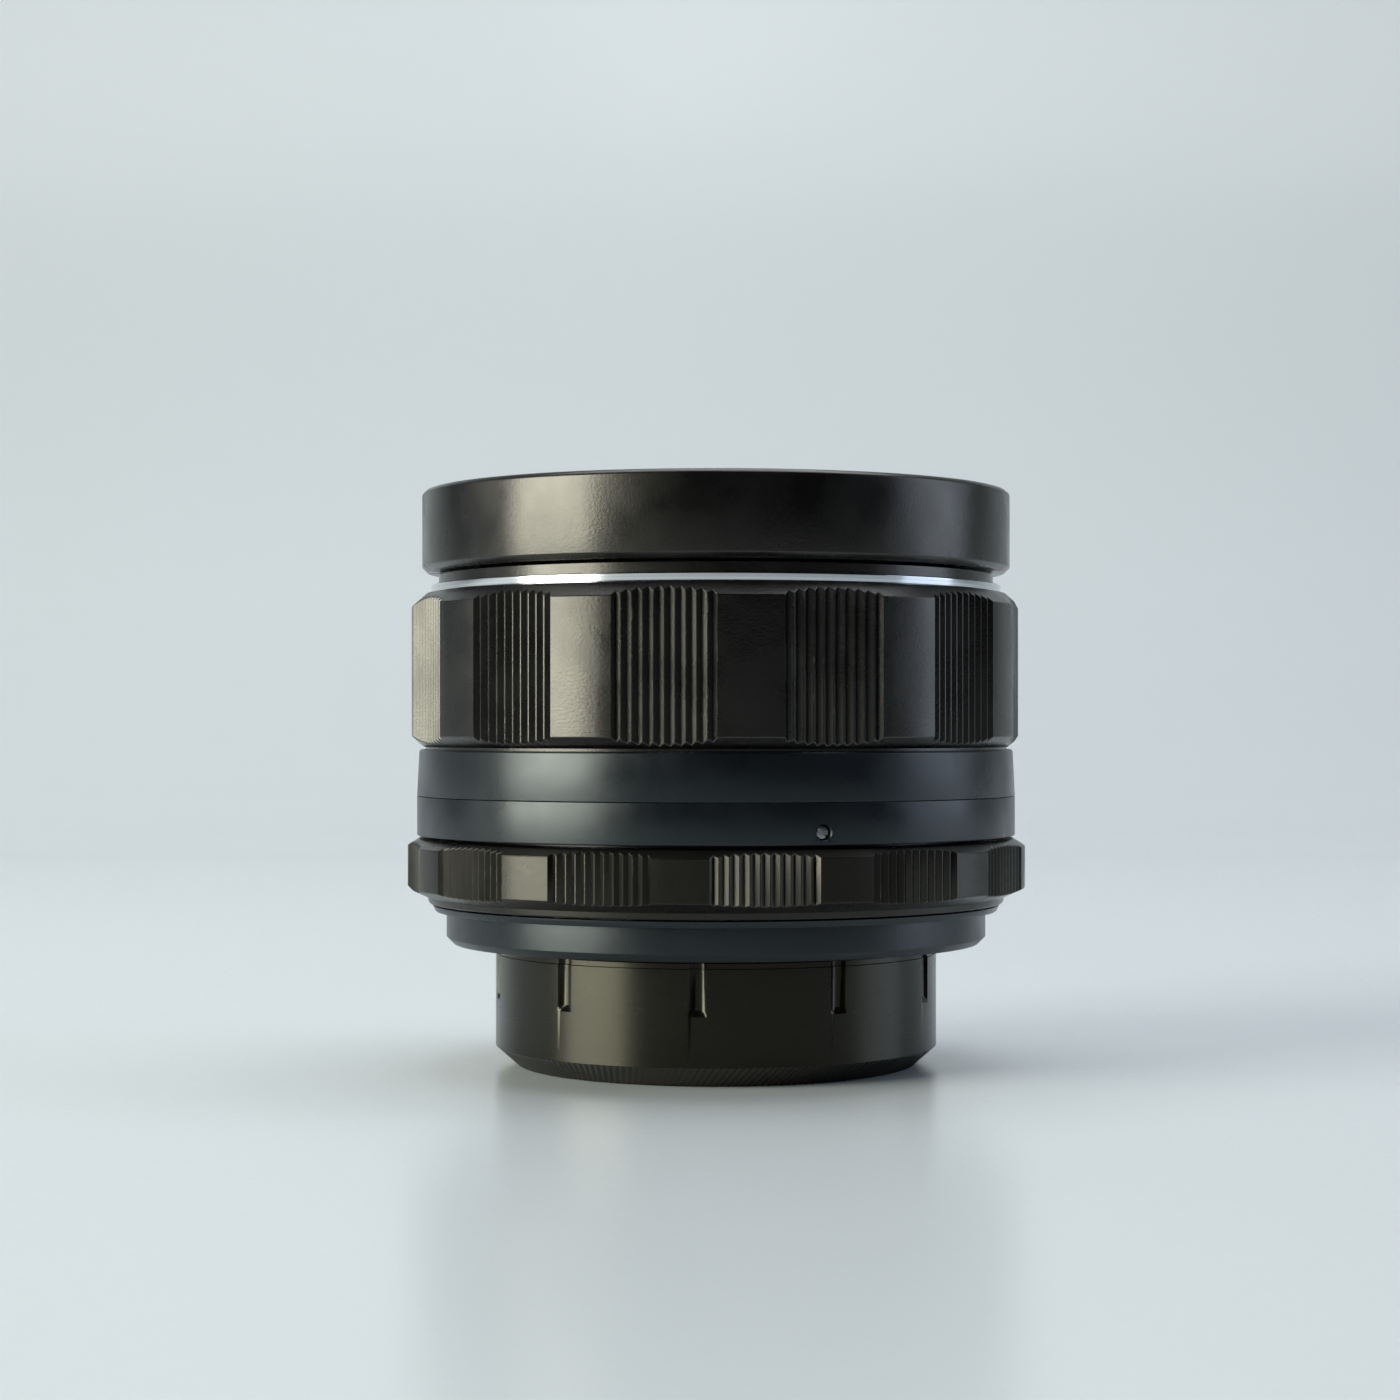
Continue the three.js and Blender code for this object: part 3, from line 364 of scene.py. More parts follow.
# ------------------------------------------------------------------ mount base ring
# Turned aluminium ring that seats on the camera, anodised a smooth bluish black. A slot on the far
# side lets the switch through, and three screws hold it from behind.
BASE_FLANGE_Z = 12.5
BASE_TOP = 16.5
BASE_WALL_INNER = 26.9
BASE_FLOOR_TOP = 14.6
MOUNT_SCREW_CIRCLE = 25.4
MOUNT_SCREW_ANGLES = (30.0, 150.0, 270.0)
SWITCH_ANGLE = 90.0


def shade_by_angle(mesh, angle):
    """Smooth faces everywhere, with hard edges where two faces meet at more than an angle."""
    shape = bmesh.new()
    shape.from_mesh(mesh)
    for face in shape.faces:
        face.smooth = True
    for edge in shape.edges:
        edge.smooth = edge.calc_face_angle(0.0) < math.radians(angle)
    shape.to_mesh(mesh)
    shape.free()


def carve(piece, cutters, angle=40.0):
    """Cuts closed shapes, given as bmeshes in millimetres, out of a piece."""
    tools = []
    for cutter in cutters:
        bmesh.ops.scale(cutter, vec=(MM, MM, MM), verts=cutter.verts)
        mesh = bpy.data.meshes.new("cutter")
        cutter.to_mesh(mesh)
        cutter.free()
        tool = bpy.data.objects.new("cutter", mesh)
        bpy.context.scene.collection.objects.link(tool)
        modifier = piece.modifiers.new("cut", "BOOLEAN")
        modifier.object = tool
        modifier.solver = "EXACT"
        tools.append(tool)
    evaluated = piece.evaluated_get(bpy.context.evaluated_depsgraph_get())
    mesh = bpy.data.meshes.new_from_object(evaluated)
    mesh.name = piece.name
    piece.modifiers.clear()
    piece.data = mesh
    shade_by_angle(mesh, angle)
    for tool in tools:
        bpy.data.objects.remove(tool)


def cylinder(radius, length, matrix, segments=24, top_radius=None):
    """A closed round bar in millimetres, centred on its matrix."""
    shape = bmesh.new()
    bmesh.ops.create_cone(
        shape, cap_ends=True, segments=segments, radius1=radius,
        radius2=radius if top_radius is None else top_radius, depth=length, matrix=matrix,
    )
    return shape


def on_circle(radius, angle, height):
    """A matrix for a place at a radius and an angle in degrees, upright."""
    turn = math.radians(angle)
    return Matrix.Translation((radius * math.cos(turn), radius * math.sin(turn), height))


def outwards(radius, angle, height):
    """The same place with its Z pointing away from the lens axis."""
    turn = math.radians(angle)
    return on_circle(radius, angle, height) @ Matrix.Rotation(turn, 4, "Z") @ Matrix.Rotation(
        math.radians(90.0), 4, "Y"
    )


def bent_block(inner, outer, bottom, top, centre, width, steps=8):
    """A block bent round Z: a rectangle spun through its width in degrees."""
    shape = bmesh.new()
    corners = [
        shape.verts.new((radius, 0.0, height))
        for radius, height in ((inner, bottom), (outer, bottom), (outer, top), (inner, top))
    ]
    shape.faces.new(corners)
    bmesh.ops.spin(
        shape, geom=shape.verts[:] + shape.edges[:] + shape.faces[:], cent=(0.0, 0.0, 0.0),
        axis=(0.0, 0.0, 1.0), angle=math.radians(width), steps=steps, use_merge=False,
    )
    bmesh.ops.rotate(
        shape, cent=(0.0, 0.0, 0.0), verts=shape.verts,
        matrix=Matrix.Rotation(math.radians(centre - width / 2), 3, "Z"),
    )
    bmesh.ops.recalc_face_normals(shape, faces=shape.faces)
    return shape


def anodised(name, light, dark, grain_mm, roughness, bump_mm, ior, gloss_tint, worn_and_highlight="6f6d69"):
    """Black anodised aluminium: dyed oxide over blasted or turned metal, so it has a fine grain that
    sparkles where a light sweeps over it, soft mottling, and the metal showing through on rubbed edges.
    On the marked ridge tips and land edges that pale grey is partly real rubbing and partly a painted
    highlight. Real blasting has a grain of about 0.05 mm, and it is drawn several times coarser so that it
    can show."""
    material, tree, shader = new_material(name, {"IOR": ior, "Specular Tint": to_linear(gloss_tint)})
    place = add_node(tree, "ShaderNodeTexCoord").outputs["Object"]
    grain = add_node(
        tree, "ShaderNodeTexNoise", inputs={"Scale": 1.0 / (grain_mm * MM), "Detail": 3.0, "Roughness": 0.6},
        links={"Vector": place},
    )
    mottling = add_node(
        tree, "ShaderNodeTexNoise", inputs={"Scale": 160.0, "Detail": 4.0}, links={"Vector": place}
    )
    tone = add_node(
        tree, "ShaderNodeMix", {"data_type": "RGBA"}, {"Factor": 0.5},
        {"A": grain.outputs["Color"], "B": mottling.outputs["Color"]},
    )
    dye = ramp_between(
        tree, tone.outputs["Result"], [(0.38, to_linear(dark)), (0.62, to_linear(light))]
    )
    # Marked ridge tips and land edges turn a pale metallic grey here: partly rubbed metal, partly a painted
    # highlight along the tips and edges.
    wear_and_highlight = add_node(tree, "ShaderNodeAttribute", {"attribute_name": "wear_and_highlight"})
    patches = add_node(
        tree, "ShaderNodeTexNoise", inputs={"Scale": 420.0, "Detail": 5.0, "Roughness": 0.7},
        links={"Vector": place},
    )
    rubbed = add_node(
        tree, "ShaderNodeMath", {"operation": "MULTIPLY"},
        links={0: wear_and_highlight.outputs["Fac"], 1: patches.outputs["Fac"]},
    )
    bare_and_highlight = add_node(
        tree, "ShaderNodeMapRange", inputs={"From Min": 0.57, "From Max": 0.8},
        links={"Value": rubbed.outputs["Value"]},
    )
    colour = add_node(
        tree, "ShaderNodeMix", {"data_type": "RGBA"},
        links={"Factor": bare_and_highlight.outputs["Result"], "A": dye.outputs["Color"]},
    )
    colour.inputs["B"].default_value = to_linear(worn_and_highlight)
    tree.links.new(colour.outputs["Result"], shader.inputs["Base Color"])
    tree.links.new(bare_and_highlight.outputs["Result"], shader.inputs["Metallic"])
    gloss = add_node(
        tree, "ShaderNodeMapRange",
        inputs={"From Min": 0.35, "From Max": 0.65, "To Min": roughness - 0.05, "To Max": roughness + 0.06},
        links={"Value": mottling.outputs["Fac"]},
    )
    tree.links.new(gloss.outputs["Result"], shader.inputs["Roughness"])
    relief = add_node(
        tree, "ShaderNodeBump", inputs={"Strength": 1.0, "Distance": bump_mm * MM},
        links={"Height": grain.outputs["Fac"]},
    )
    tree.links.new(relief.outputs["Normal"], shader.inputs["Normal"])
    return material


smooth_anodising = anodised("smooth_black_anodising", "0a1017", "06090e", 0.24, 0.31, 0.006, 1.54, "dfe8ea")
base_ring = spin_outline(
    [
        (21.3, BASE_FLANGE_Z), (27.1, BASE_FLANGE_Z), (27.82, 13.22), (27.82, 15.85), (28.96, 15.85),
        (29.27, BASE_TOP), (BASE_WALL_INNER, BASE_TOP), (BASE_WALL_INNER, BASE_FLOOR_TOP),
        (21.3, BASE_FLOOR_TOP),
    ],
    240,
    {1: 0.06, 2: 0.06, 4: 0.05, 5: 0.1},
)
base_piece = finish_piece(
    "mount_base_ring_turned", base_ring, smooth_anodising, "barrel",
    ["mount_base_ring"],
)
screw_wells = [cylinder(1.45, 2.2, on_circle(MOUNT_SCREW_CIRCLE, a, 12.5)) for a in MOUNT_SCREW_ANGLES]
screw_ways = [cylinder(0.95, 6.0, on_circle(MOUNT_SCREW_CIRCLE, a, 14.0)) for a in MOUNT_SCREW_ANGLES]
switch_slot = bent_block(BASE_WALL_INNER - 1.0, 29.0, 14.7, 15.8, SWITCH_ANGLE + 5.0, 22.0)
carve(base_piece, [*screw_wells, *screw_ways, switch_slot])


# ------------------------------------------------------------------ mount thread and what shows behind it
# The 42 mm male thread is a turned bare aluminium sleeve with 1 mm grooves. It shows with the cap off,
# with the matt black baffle, the stop-down pin and the rear cell inside it.
THREAD_END = 7.6
THREAD_PITCH = 1.0
THREAD_CREST = 20.95
THREAD_ROOT = 20.4
THREAD_BORE = 19.3
SHELF_INNER = 16.2
SHELF_OUTER = 26.4
SHELF_LOW = 14.9
SHELF_HIGH = 15.9
STOP_PIN_PLACE = (17.6, 210.0)  # radius and angle
STOP_PIN_HOLE = 1.1
SCREW_WAY = 0.95


def turned_metal(name, light, dark, roughness, line_mm, metallic=1.0, bump_mm=0.0015):
    """Machined metal: bright with fine rings left by the tool, spaced by the feed of the lathe."""
    material, tree, shader = new_material(name, {"Metallic": metallic})
    place = add_node(tree, "ShaderNodeTexCoord").outputs["Object"]
    apart = add_node(tree, "ShaderNodeSeparateXYZ", links={"Vector": place})
    around = add_node(
        tree, "ShaderNodeVectorMath", {"operation": "LENGTH"},
        links={0: add_node(
            tree, "ShaderNodeCombineXYZ", links={"X": apart.outputs["X"], "Y": apart.outputs["Y"]}
        ).outputs["Vector"]},
    )
    rings = add_node(
        tree, "ShaderNodeCombineXYZ", links={"X": around.outputs["Value"], "Z": apart.outputs["Z"]}
    )
    lines = add_node(
        tree, "ShaderNodeTexNoise", inputs={"Scale": 1.0 / (line_mm * MM), "Detail": 2.0},
        links={"Vector": rings.outputs["Vector"]},
    )
    colour = ramp_between(
        tree, lines.outputs["Fac"], [(0.3, to_linear(dark)), (0.7, to_linear(light))]
    )
    tree.links.new(colour.outputs["Color"], shader.inputs["Base Color"])
    gloss = add_node(
        tree, "ShaderNodeMapRange",
        inputs={"From Min": 0.3, "From Max": 0.7, "To Min": roughness * 0.8, "To Max": roughness * 1.2},
        links={"Value": lines.outputs["Fac"]},
    )
    tree.links.new(gloss.outputs["Result"], shader.inputs["Roughness"])
    relief = add_node(
        tree, "ShaderNodeBump", inputs={"Strength": 0.6, "Distance": bump_mm * MM},
        links={"Height": lines.outputs["Fac"]},
    )
    tree.links.new(relief.outputs["Normal"], shader.inputs["Normal"])
    return material


def matt_black():
    """Flocked-looking matt black paint against stray light, with a slight grain of its pigment."""
    material, tree, shader = new_material("matt_black_paint", {"Roughness": 0.85, "IOR": 1.45})
    place = add_node(tree, "ShaderNodeTexCoord").outputs["Object"]
    pigment = add_node(
        tree, "ShaderNodeTexNoise", inputs={"Scale": 5000.0, "Detail": 3.0}, links={"Vector": place}
    )
    colour = ramp_between(
        tree, pigment.outputs["Fac"], [(0.35, to_linear("141415")), (0.65, to_linear("202021"))]
    )
    tree.links.new(colour.outputs["Color"], shader.inputs["Base Color"])
    relief = add_node(
        tree, "ShaderNodeBump", inputs={"Strength": 0.5, "Distance": 0.00001},
        links={"Height": pigment.outputs["Fac"]},
    )
    tree.links.new(relief.outputs["Normal"], shader.inputs["Normal"])
    return material


bare_aluminium = turned_metal("turned_aluminium", "c9cbcc", "a3a5a6", 0.3, 0.12)
steel = turned_metal("turned_steel", "a8a9aa", "858687", 0.28, 0.1)
brass = turned_metal("turned_brass", "c2a05c", "9c7c40", 0.3, 0.12)
matt_paint = matt_black()


def groove_points(root, crest, bottom, top, pitch):
    """Points of a V thread between two heights, from the bottom up."""
    points = []
    for turn in range(int((top - bottom) / pitch)):
        start = bottom + turn * pitch
        points += [(crest, start + 0.12 * pitch), (root, start + 0.5 * pitch), (crest, start + 0.88 * pitch)]
    return points


thread = spin_outline(
    [
        (THREAD_BORE, THREAD_END), (THREAD_CREST - 0.35, THREAD_END),
        *groove_points(THREAD_ROOT, THREAD_CREST, THREAD_END + 0.3, THREAD_END + 4.3, THREAD_PITCH),
        (THREAD_CREST, SHELF_LOW), (SHELF_OUTER, SHELF_LOW), (SHELF_OUTER, SHELF_HIGH),
        (SHELF_INNER, SHELF_HIGH), (SHELF_INNER, SHELF_LOW), (THREAD_BORE, SHELF_LOW),
    ],
    160,
)
thread_piece = finish_piece(
    "mount_thread_turned", thread, bare_aluminium, "barrel", ["mount_thread_ring"], 30.0
)
shelf_middle = (SHELF_LOW + SHELF_HIGH) / 2
shelf_holes = [
    cylinder(SCREW_WAY, 3.0, on_circle(MOUNT_SCREW_CIRCLE, a, shelf_middle)) for a in MOUNT_SCREW_ANGLES
]
shelf_holes.append(cylinder(STOP_PIN_HOLE, 3.0, on_circle(*STOP_PIN_PLACE, shelf_middle)))
carve(thread_piece, shelf_holes, 30.0)
baffle = spin_outline(
    [(14.4, 8.4), (19.0, 8.4), (19.0, 9.2), (14.4, 9.2)], 128, {0: 0.15, 3: 0.15}
)
baffle_piece = finish_piece(
    "rear_baffle_painted", baffle, matt_paint, "barrel", ["rear_light_baffle"]
)
carve(baffle_piece, [cylinder(STOP_PIN_HOLE, 3.0, on_circle(*STOP_PIN_PLACE, 8.8))])

# The pin's nose is rounded and its collar keeps the return spring down.
pin = spin_outline(
    [
        (0.0, 5.2), (0.8, 5.2), (0.8, 9.5), (1.3, 9.5), (1.3, 10.0), (0.8, 10.0), (0.8, 16.5), (0.0, 16.5),
    ],
    32,
    {1: 0.35, 3: 0.08, 6: 0.15},
)
bmesh.ops.transform(pin, matrix=on_circle(*STOP_PIN_PLACE, 0.0), verts=pin.verts)
finish_piece("stop_down_pin_turned", pin, steel, "stop_down_pin", ["stop_down_pin"])

# The return spring is wound from steel wire, between the pin's collar and the shelf. It is built here
# at rest, with a mesh of its own; on the lens its top end stays still, and it shortens by the 3 mm
# that the pin moves.
SPRING_LOW = 10.2
SPRING_HIGH = 14.6
SPRING_COIL = 1.15
SPRING_WIRE = 0.15
SPRING_TURNS = 4
SPRING_STEPS = 24  # in each turn
spring = bmesh.new()
bmesh.ops.create_circle(
    spring, cap_ends=False, segments=10, radius=SPRING_WIRE,
    matrix=Matrix.Translation((SPRING_COIL, 0.0, SPRING_LOW + SPRING_WIRE))
    @ Matrix.Rotation(math.radians(90.0), 4, "X"),
)
rise = (SPRING_HIGH - SPRING_LOW - 2 * SPRING_WIRE) / (SPRING_TURNS * SPRING_STEPS)
bmesh.ops.spin(
    spring, geom=spring.verts[:] + spring.edges[:], cent=(0.0, 0.0, 0.0), axis=(0.0, 0.0, 1.0),
    angle=math.tau * SPRING_TURNS, steps=SPRING_TURNS * SPRING_STEPS, dvec=(0.0, 0.0, rise),
)
bmesh.ops.holes_fill(spring, edges=[edge for edge in spring.edges if edge.is_boundary])
bmesh.ops.recalc_face_normals(spring, faces=spring.faces)
bmesh.ops.transform(spring, matrix=on_circle(*STOP_PIN_PLACE, 0.0), verts=spring.verts)
spring_piece = finish_piece(
    "stop_down_spring_wound", spring, steel, "barrel", ["stop_down_spring"]
)
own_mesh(spring_piece)


def screw(head_radius, head_low, head_high, shaft_radius, tip, matrix, slot_width):
    """A slotted screw along its own Z, head at head_high, with the slot cut by a thin block."""
    body = spin_outline(
        [
            (0.0, tip), (shaft_radius, tip), (shaft_radius, head_low), (head_radius, head_low),
            (head_radius, head_high), (0.0, head_high),
        ],
        32,
        {1: shaft_radius * 0.4, 4: head_radius * 0.18},
    )
    slot = bmesh.new()
    bmesh.ops.create_cube(slot, size=1.0)
    depth = abs(head_high - head_low) * 0.6
    bmesh.ops.scale(slot, vec=(3.0 * head_radius, slot_width, 2.0 * depth), verts=slot.verts)
    bmesh.ops.translate(slot, vec=(0.0, 0.0, head_high), verts=slot.verts)
    for shape in (body, slot):
        bmesh.ops.transform(shape, matrix=matrix, verts=shape.verts)
    return body, slot


for count, angle in enumerate(MOUNT_SCREW_ANGLES):
    flip = on_circle(MOUNT_SCREW_CIRCLE, angle, 0.0) @ Matrix.Rotation(math.radians(40.0 * count), 4, "Z")
    body, slot = screw(1.2, 13.3, 12.75, 0.65, 17.3, flip, 0.35)
    name = f"mount_screw_{count + 1}"
    piece = finish_piece(f"{name}_slotted", body, steel, "barrel", [name])
    carve(piece, [slot])

# Switch: a milled knob with three finger ridges, blackened like the ring that it slides round.
knob = bent_block(28.1, 29.7, 13.7, 15.55, SWITCH_ANGLE, 11.0, 12)
bmesh.ops.bevel(
    knob, geom=[e for e in knob.edges if e.calc_face_angle(0.0) > 0.8], offset=0.18, segments=3,
    profile=0.5, affect="EDGES", material=-1,
)
stem = bent_block(26.75, 28.2, 14.95, 15.5, SWITCH_ANGLE, 7.0, 6)
stem_mesh = bpy.data.meshes.new("stem")
stem.to_mesh(stem_mesh)
knob.from_mesh(stem_mesh)
for turn in (-3.2, 0.0, 3.2):
    ridge = bent_block(29.6, 29.9, 13.95, 15.3, SWITCH_ANGLE + turn, 1.1, 2)
    ridge.to_mesh(stem_mesh)
    knob.from_mesh(stem_mesh)
finish_piece(
    "switch_knob", knob, smooth_anodising, "auto_manual_switch",
    ["auto_manual_switch"],
)


# ------------------------------------------------------------------ grip rings
# The aperture ring and the focus ring are turned, bevelled top and bottom, and then milled: twelve
# groups of fine V ridges lie on near-flat cuts between smooth lands. The ridge tips and land edges are
# pale grey, partly rubbed through to the metal and partly a painted highlight along them.
RIDGE_TIP = 0.05  # half width of the flat on a ridge, in millimetres


def ring_columns(groups, group_centre, spacing, ridges, pitch, radius, tip_middle, tip_end, groove_depth):
    """(angle, wall radius, rubbed-edge and painted-highlight mark) of every upright line of a grip ring, once
    round.
    """
    half = ridges * pitch / 2
    tip_turn = math.degrees(RIDGE_TIP / radius)
    edge_turn = math.degrees((radius - tip_end + groove_depth * 0.7) / radius)
    columns = []
    for group in range(groups):
        centre = group_centre + spacing * group
        for ridge in range(ridges + 1):
            offset = -half + ridge * pitch
            tip = tip_middle + (tip_end - tip_middle) * (offset / half) ** 2
            columns.append((centre + offset, tip - groove_depth, 0.0))
            if ridge < ridges:
                offset += pitch / 2
                tip = tip_middle + (tip_end - tip_middle) * (offset / half) ** 2
                # Ridge tips and land ends get the mark for the pale grey, which is partly rubbed metal and
                # partly a painted highlight.
                columns += [(centre + offset - tip_turn, tip, 1.0), (centre + offset + tip_turn, tip, 1.0)]
        land_start = centre + half + edge_turn
        next_centre = centre + spacing if group < groups - 1 else group_centre + 360.0
        land_end = next_centre - half - edge_turn
        steps = math.ceil((land_end - land_start) / 1.5)
        columns.append((land_start, radius - 0.03, 1.0))
        for step in range(1, steps):
            columns.append((land_start + (land_end - land_start) * step / steps, radius, 0.0))
        columns.append((land_end, radius - 0.03, 1.0))
    return columns


def grip_ring(columns, radius, foot, foot_bevel, top_bevel, top, inner):
    """Spins a bevelled outline, one step for each column, and brings every column to its own depth."""
    corner = 0.07

    def wall(limit):
        low = foot[1] + (foot_bevel - foot[1]) * (limit - foot[0]) / (radius - foot[0])
        high = top[1] - (top[1] - top_bevel) * (limit - top[0]) / (radius - top[0])
        inset = corner * 0.7
        return [
            (foot[0], foot[1]), (limit - inset, low - corner * 0.6), (limit, low + corner),
            (limit, high - corner), (limit - inset, high + corner * 0.6), (top[0], top[1]),
        ]

    outline = wall(radius) + inner
    count = len(columns)
    shape = bmesh.new()
    point_of = shape.verts.layers.int.new("point")
    points = [shape.verts.new((r, 0.0, z)) for r, z in outline]
    for at, vertex in enumerate(points):
        vertex[point_of] = at
    for first, second in zip(points, points[1:] + points[:1]):
        shape.edges.new((first, second))
    bmesh.ops.spin(
        shape, geom=shape.verts[:] + shape.edges[:], cent=(0.0, 0.0, 0.0), axis=(0.0, 0.0, 1.0),
        angle=math.tau, steps=count, use_merge=True,
    )
    bmesh.ops.remove_doubles(shape, verts=shape.verts, dist=1e-4)
    wear_and_highlight_of = shape.verts.layers.float.new("wear_and_highlight")
    walls = [wall(limit) for _, limit, _ in columns]
    for vertex in shape.verts:
        at = vertex[point_of]
        column = round(polar(vertex)[1] * count / 360.0) % count
        angle, _, wear_and_highlight = columns[column]
        wall_point = at < 6
        r, z = walls[column][at] if wall_point else outline[at]
        place_polar(vertex, r, angle)
        vertex.co.z = z
        # The mark for the pale grey goes on ridge tips and on land corners at the bevels: partly rubbed
        # metal, partly a painted highlight.
        vertex[wear_and_highlight_of] = wear_and_highlight if wall_point and at not in (0, 5) else 0.0
        if at in (1, 2, 3, 4) and wear_and_highlight == 0.0 and columns[column][1] > radius - 0.01:
            vertex[wear_and_highlight_of] = 0.8 if at in (1, 4) else 0.0
    bmesh.ops.recalc_face_normals(shape, faces=shape.faces)
    return shape


aperture_anodising = anodised("brown_black_anodising", "0b0a08", "060504", 0.24, 0.3, 0.007, 1.48, "f6f2e2")
aperture_columns = ring_columns(12, -254.4, 28.8, 10, 1.76, 31.87, 31.35, 31.72, 0.3)
aperture_shape = grip_ring(
    aperture_columns, 31.87, (29.75, 17.3), 18.29, 22.49, (30.67, 23.25),
    [
        (27.0, 23.25), (27.0, 19.6), (25.1, 19.6), (25.1, 18.2), (27.0, 18.2), (27.0, 16.68),
        (29.55, 16.68), (29.64, 16.8),
    ],
)
finish_piece(
    "aperture_ring_milled", aperture_shape, aperture_anodising, "aperture_ring",
    ["aperture_ring"], 22.0,
)

blasted_anodising = anodised("blasted_black_anodising", "08080a", "040405", 0.28, 0.27, 0.014, 1.58, "f8f4e8")
focus_columns = ring_columns(12, -99.0, 30.0, 9, 1.9, 31.38, 30.76, 31.25, 0.34)
focus_shape = grip_ring(
    focus_columns, 31.38, (30.16, 32.64), 33.7, 46.97, (29.9, 48.29),
    [
        (29.75, 48.29), (29.75, 47.4), (28.95, 47.4), (28.95, 34.0), (26.75, 34.0), (26.75, 32.05),
        (30.0, 32.05), (30.0, 32.64),
    ],
)
finish_piece(
    "focus_grip_ring_milled", focus_shape, blasted_anodising, "focus_ring",
    ["focus_grip_ring"], 22.0,
)


# ------------------------------------------------------------------ index ring and distance scale ring
# Two smooth rings that meet almost flush. The index ring is fixed by three slotted set screws, and
# the scale ring turns with the focus ring. An inner lip on the index ring closes the gap below it.
RING_STEPS = 256
INDEX_RADIUS = 30.84
CLICK_PLACE = (28.3, 225.0)  # radius and angle of the aperture ring's click ball
INDEX_SCREW_Z = 24.8
INDEX_SCREW_ANGLES = (-70.9, 49.1, 169.1)

index_shape = spin_outline(
    [
        (25.1, 22.3), (26.8, 22.3), (26.8, 23.58), (30.84, 23.58), (30.84, 27.6), (25.1, 27.6),
    ],
    RING_STEPS,
    {3: 0.16, 4: 0.03},
)
index_piece = finish_piece(
    "index_ring_turned", index_shape, smooth_anodising, "barrel", ["index_ring"]
)
carve(index_piece, [cylinder(1.1, 4.0, on_circle(*CLICK_PLACE, 25.1))])  # pocket for ball and spring
set_screw_holes = [
    cylinder(0.72, 8.0, outwards(29.0, angle, INDEX_SCREW_Z), 32) for angle in INDEX_SCREW_ANGLES
]
sinks = [
    cylinder(0.6, 0.4, outwards(30.78, angle, INDEX_SCREW_Z), 32, 0.98) for angle in INDEX_SCREW_ANGLES
]
carve(index_piece, set_screw_holes + sinks)
for count, angle in enumerate(INDEX_SCREW_ANGLES):
    body, slot = screw(
        0.66, 0.4, 0.95, 0.6, -2.0, outwards(29.5, angle, INDEX_SCREW_Z) @ Matrix.Rotation(0.9, 4, "Z"), 0.24
    )
    name = f"index_ring_set_screw_{count + 1}"
    piece = finish_piece(f"{name}_slotted", body, steel, "barrel", [name])
    carve(piece, [slot])

scale_shape = spin_outline(
    [
        (25.2, 27.65), (30.84, 27.65), (30.61, 32.2), (30.45, 32.37), (28.5, 32.37), (28.5, 29.6),
        (25.2, 29.6),
    ],
    RING_STEPS,
    {1: 0.07, 2: 0.05},
)
finish_piece(
    "distance_scale_ring_turned", scale_shape, smooth_anodising, "focus_ring",
    ["distance_scale_ring"],
)


# ------------------------------------------------------------------ distance and depth scales
# White numbers and fine lines, engraved and filled with paint, on the side with the switch. Distances
# in metres are spaced by how far the lens block must come forward, for a focal length of 50 mm.
FOCAL_LENGTH = 50.0
TURN_PER_MM = 250.0 / 8.0  # degrees of the focus ring for each millimetre forward
DISTANCES = (5.0, 3.0, 2.0, 1.5, 1.0)
DEPTH_STOPS = ((4, 5.5), (8, 11.0), (16, 22.0))  # aperture number, degrees either side of the index
NUMBER_HEIGHT = 1.75
PAINT_PROUD = 0.012


def filled_paint(name, light, dark):
    """Enamel rubbed into an engraving: nearly flat, a little chalky, with tiny gaps and dust."""
    material, tree, shader = new_material(name, {"Roughness": 0.55, "IOR": 1.48})
    place = add_node(tree, "ShaderNodeTexCoord").outputs["Object"]
    dust = add_node(
        tree, "ShaderNodeTexNoise", inputs={"Scale": 2600.0, "Detail": 4.0}, links={"Vector": place}
    )
    colour = ramp_between(
        tree, dust.outputs["Fac"], [(0.34, to_linear(dark)), (0.52, to_linear(light))]
    )
    tree.links.new(colour.outputs["Color"], shader.inputs["Base Color"])
    relief = add_node(
        tree, "ShaderNodeBump", inputs={"Strength": 0.4, "Distance": 0.00001},
        links={"Height": dust.outputs["Fac"]},
    )
    tree.links.new(relief.outputs["Normal"], shader.inputs["Normal"])
    return material


def text_shape(words, height):
    """Letters as a closed bmesh, centred, lying in X and Y and a little thick in Z, in millimetres."""
    curve = bpy.data.curves.new("letters", "FONT")
    curve.body = words
    curve.size = height * 1.4
    curve.align_x = "CENTER"
    curve.align_y = "CENTER"
    curve.resolution_u = 3
    curve.extrude = PAINT_PROUD
    letters = bpy.data.objects.new("letters", curve)
    bpy.context.scene.collection.objects.link(letters)
    mesh = bpy.data.meshes.new_from_object(letters.evaluated_get(bpy.context.evaluated_depsgraph_get()))
    bpy.data.objects.remove(letters)
    shape = bmesh.new()
    shape.from_mesh(mesh)
    bpy.data.meshes.remove(mesh)
    return shape


def line_shape(width, height):
    """A thin straight mark of the same thickness as the letters."""
    shape = bmesh.new()
    bmesh.ops.create_cube(shape, size=1.0)
    bmesh.ops.scale(shape, vec=(width, height, 2 * PAINT_PROUD), verts=shape.verts)
    return shape


def wrap_on(collected, shape, radius_at, angle, height):
    """Bends a flat shape round the lens at an angle and height, and adds it to the collected marks."""
    for vertex in shape.verts:
        level = height + vertex.co.y
        radius = radius_at(level)
        turn = math.radians(angle) + vertex.co.x / radius
        out = radius + vertex.co.z
        vertex.co = (out * math.cos(turn), out * math.sin(turn), level)
    mesh = bpy.data.meshes.new("mark")
    shape.to_mesh(mesh)
    shape.free()
    collected.from_mesh(mesh)
    bpy.data.meshes.remove(mesh)


def scale_radius(height):
    """Radius of the distance scale ring, which narrows a little towards the front."""
    return 30.84 + (30.61 - 30.84) * (height - 27.65) / (32.2 - 27.65)


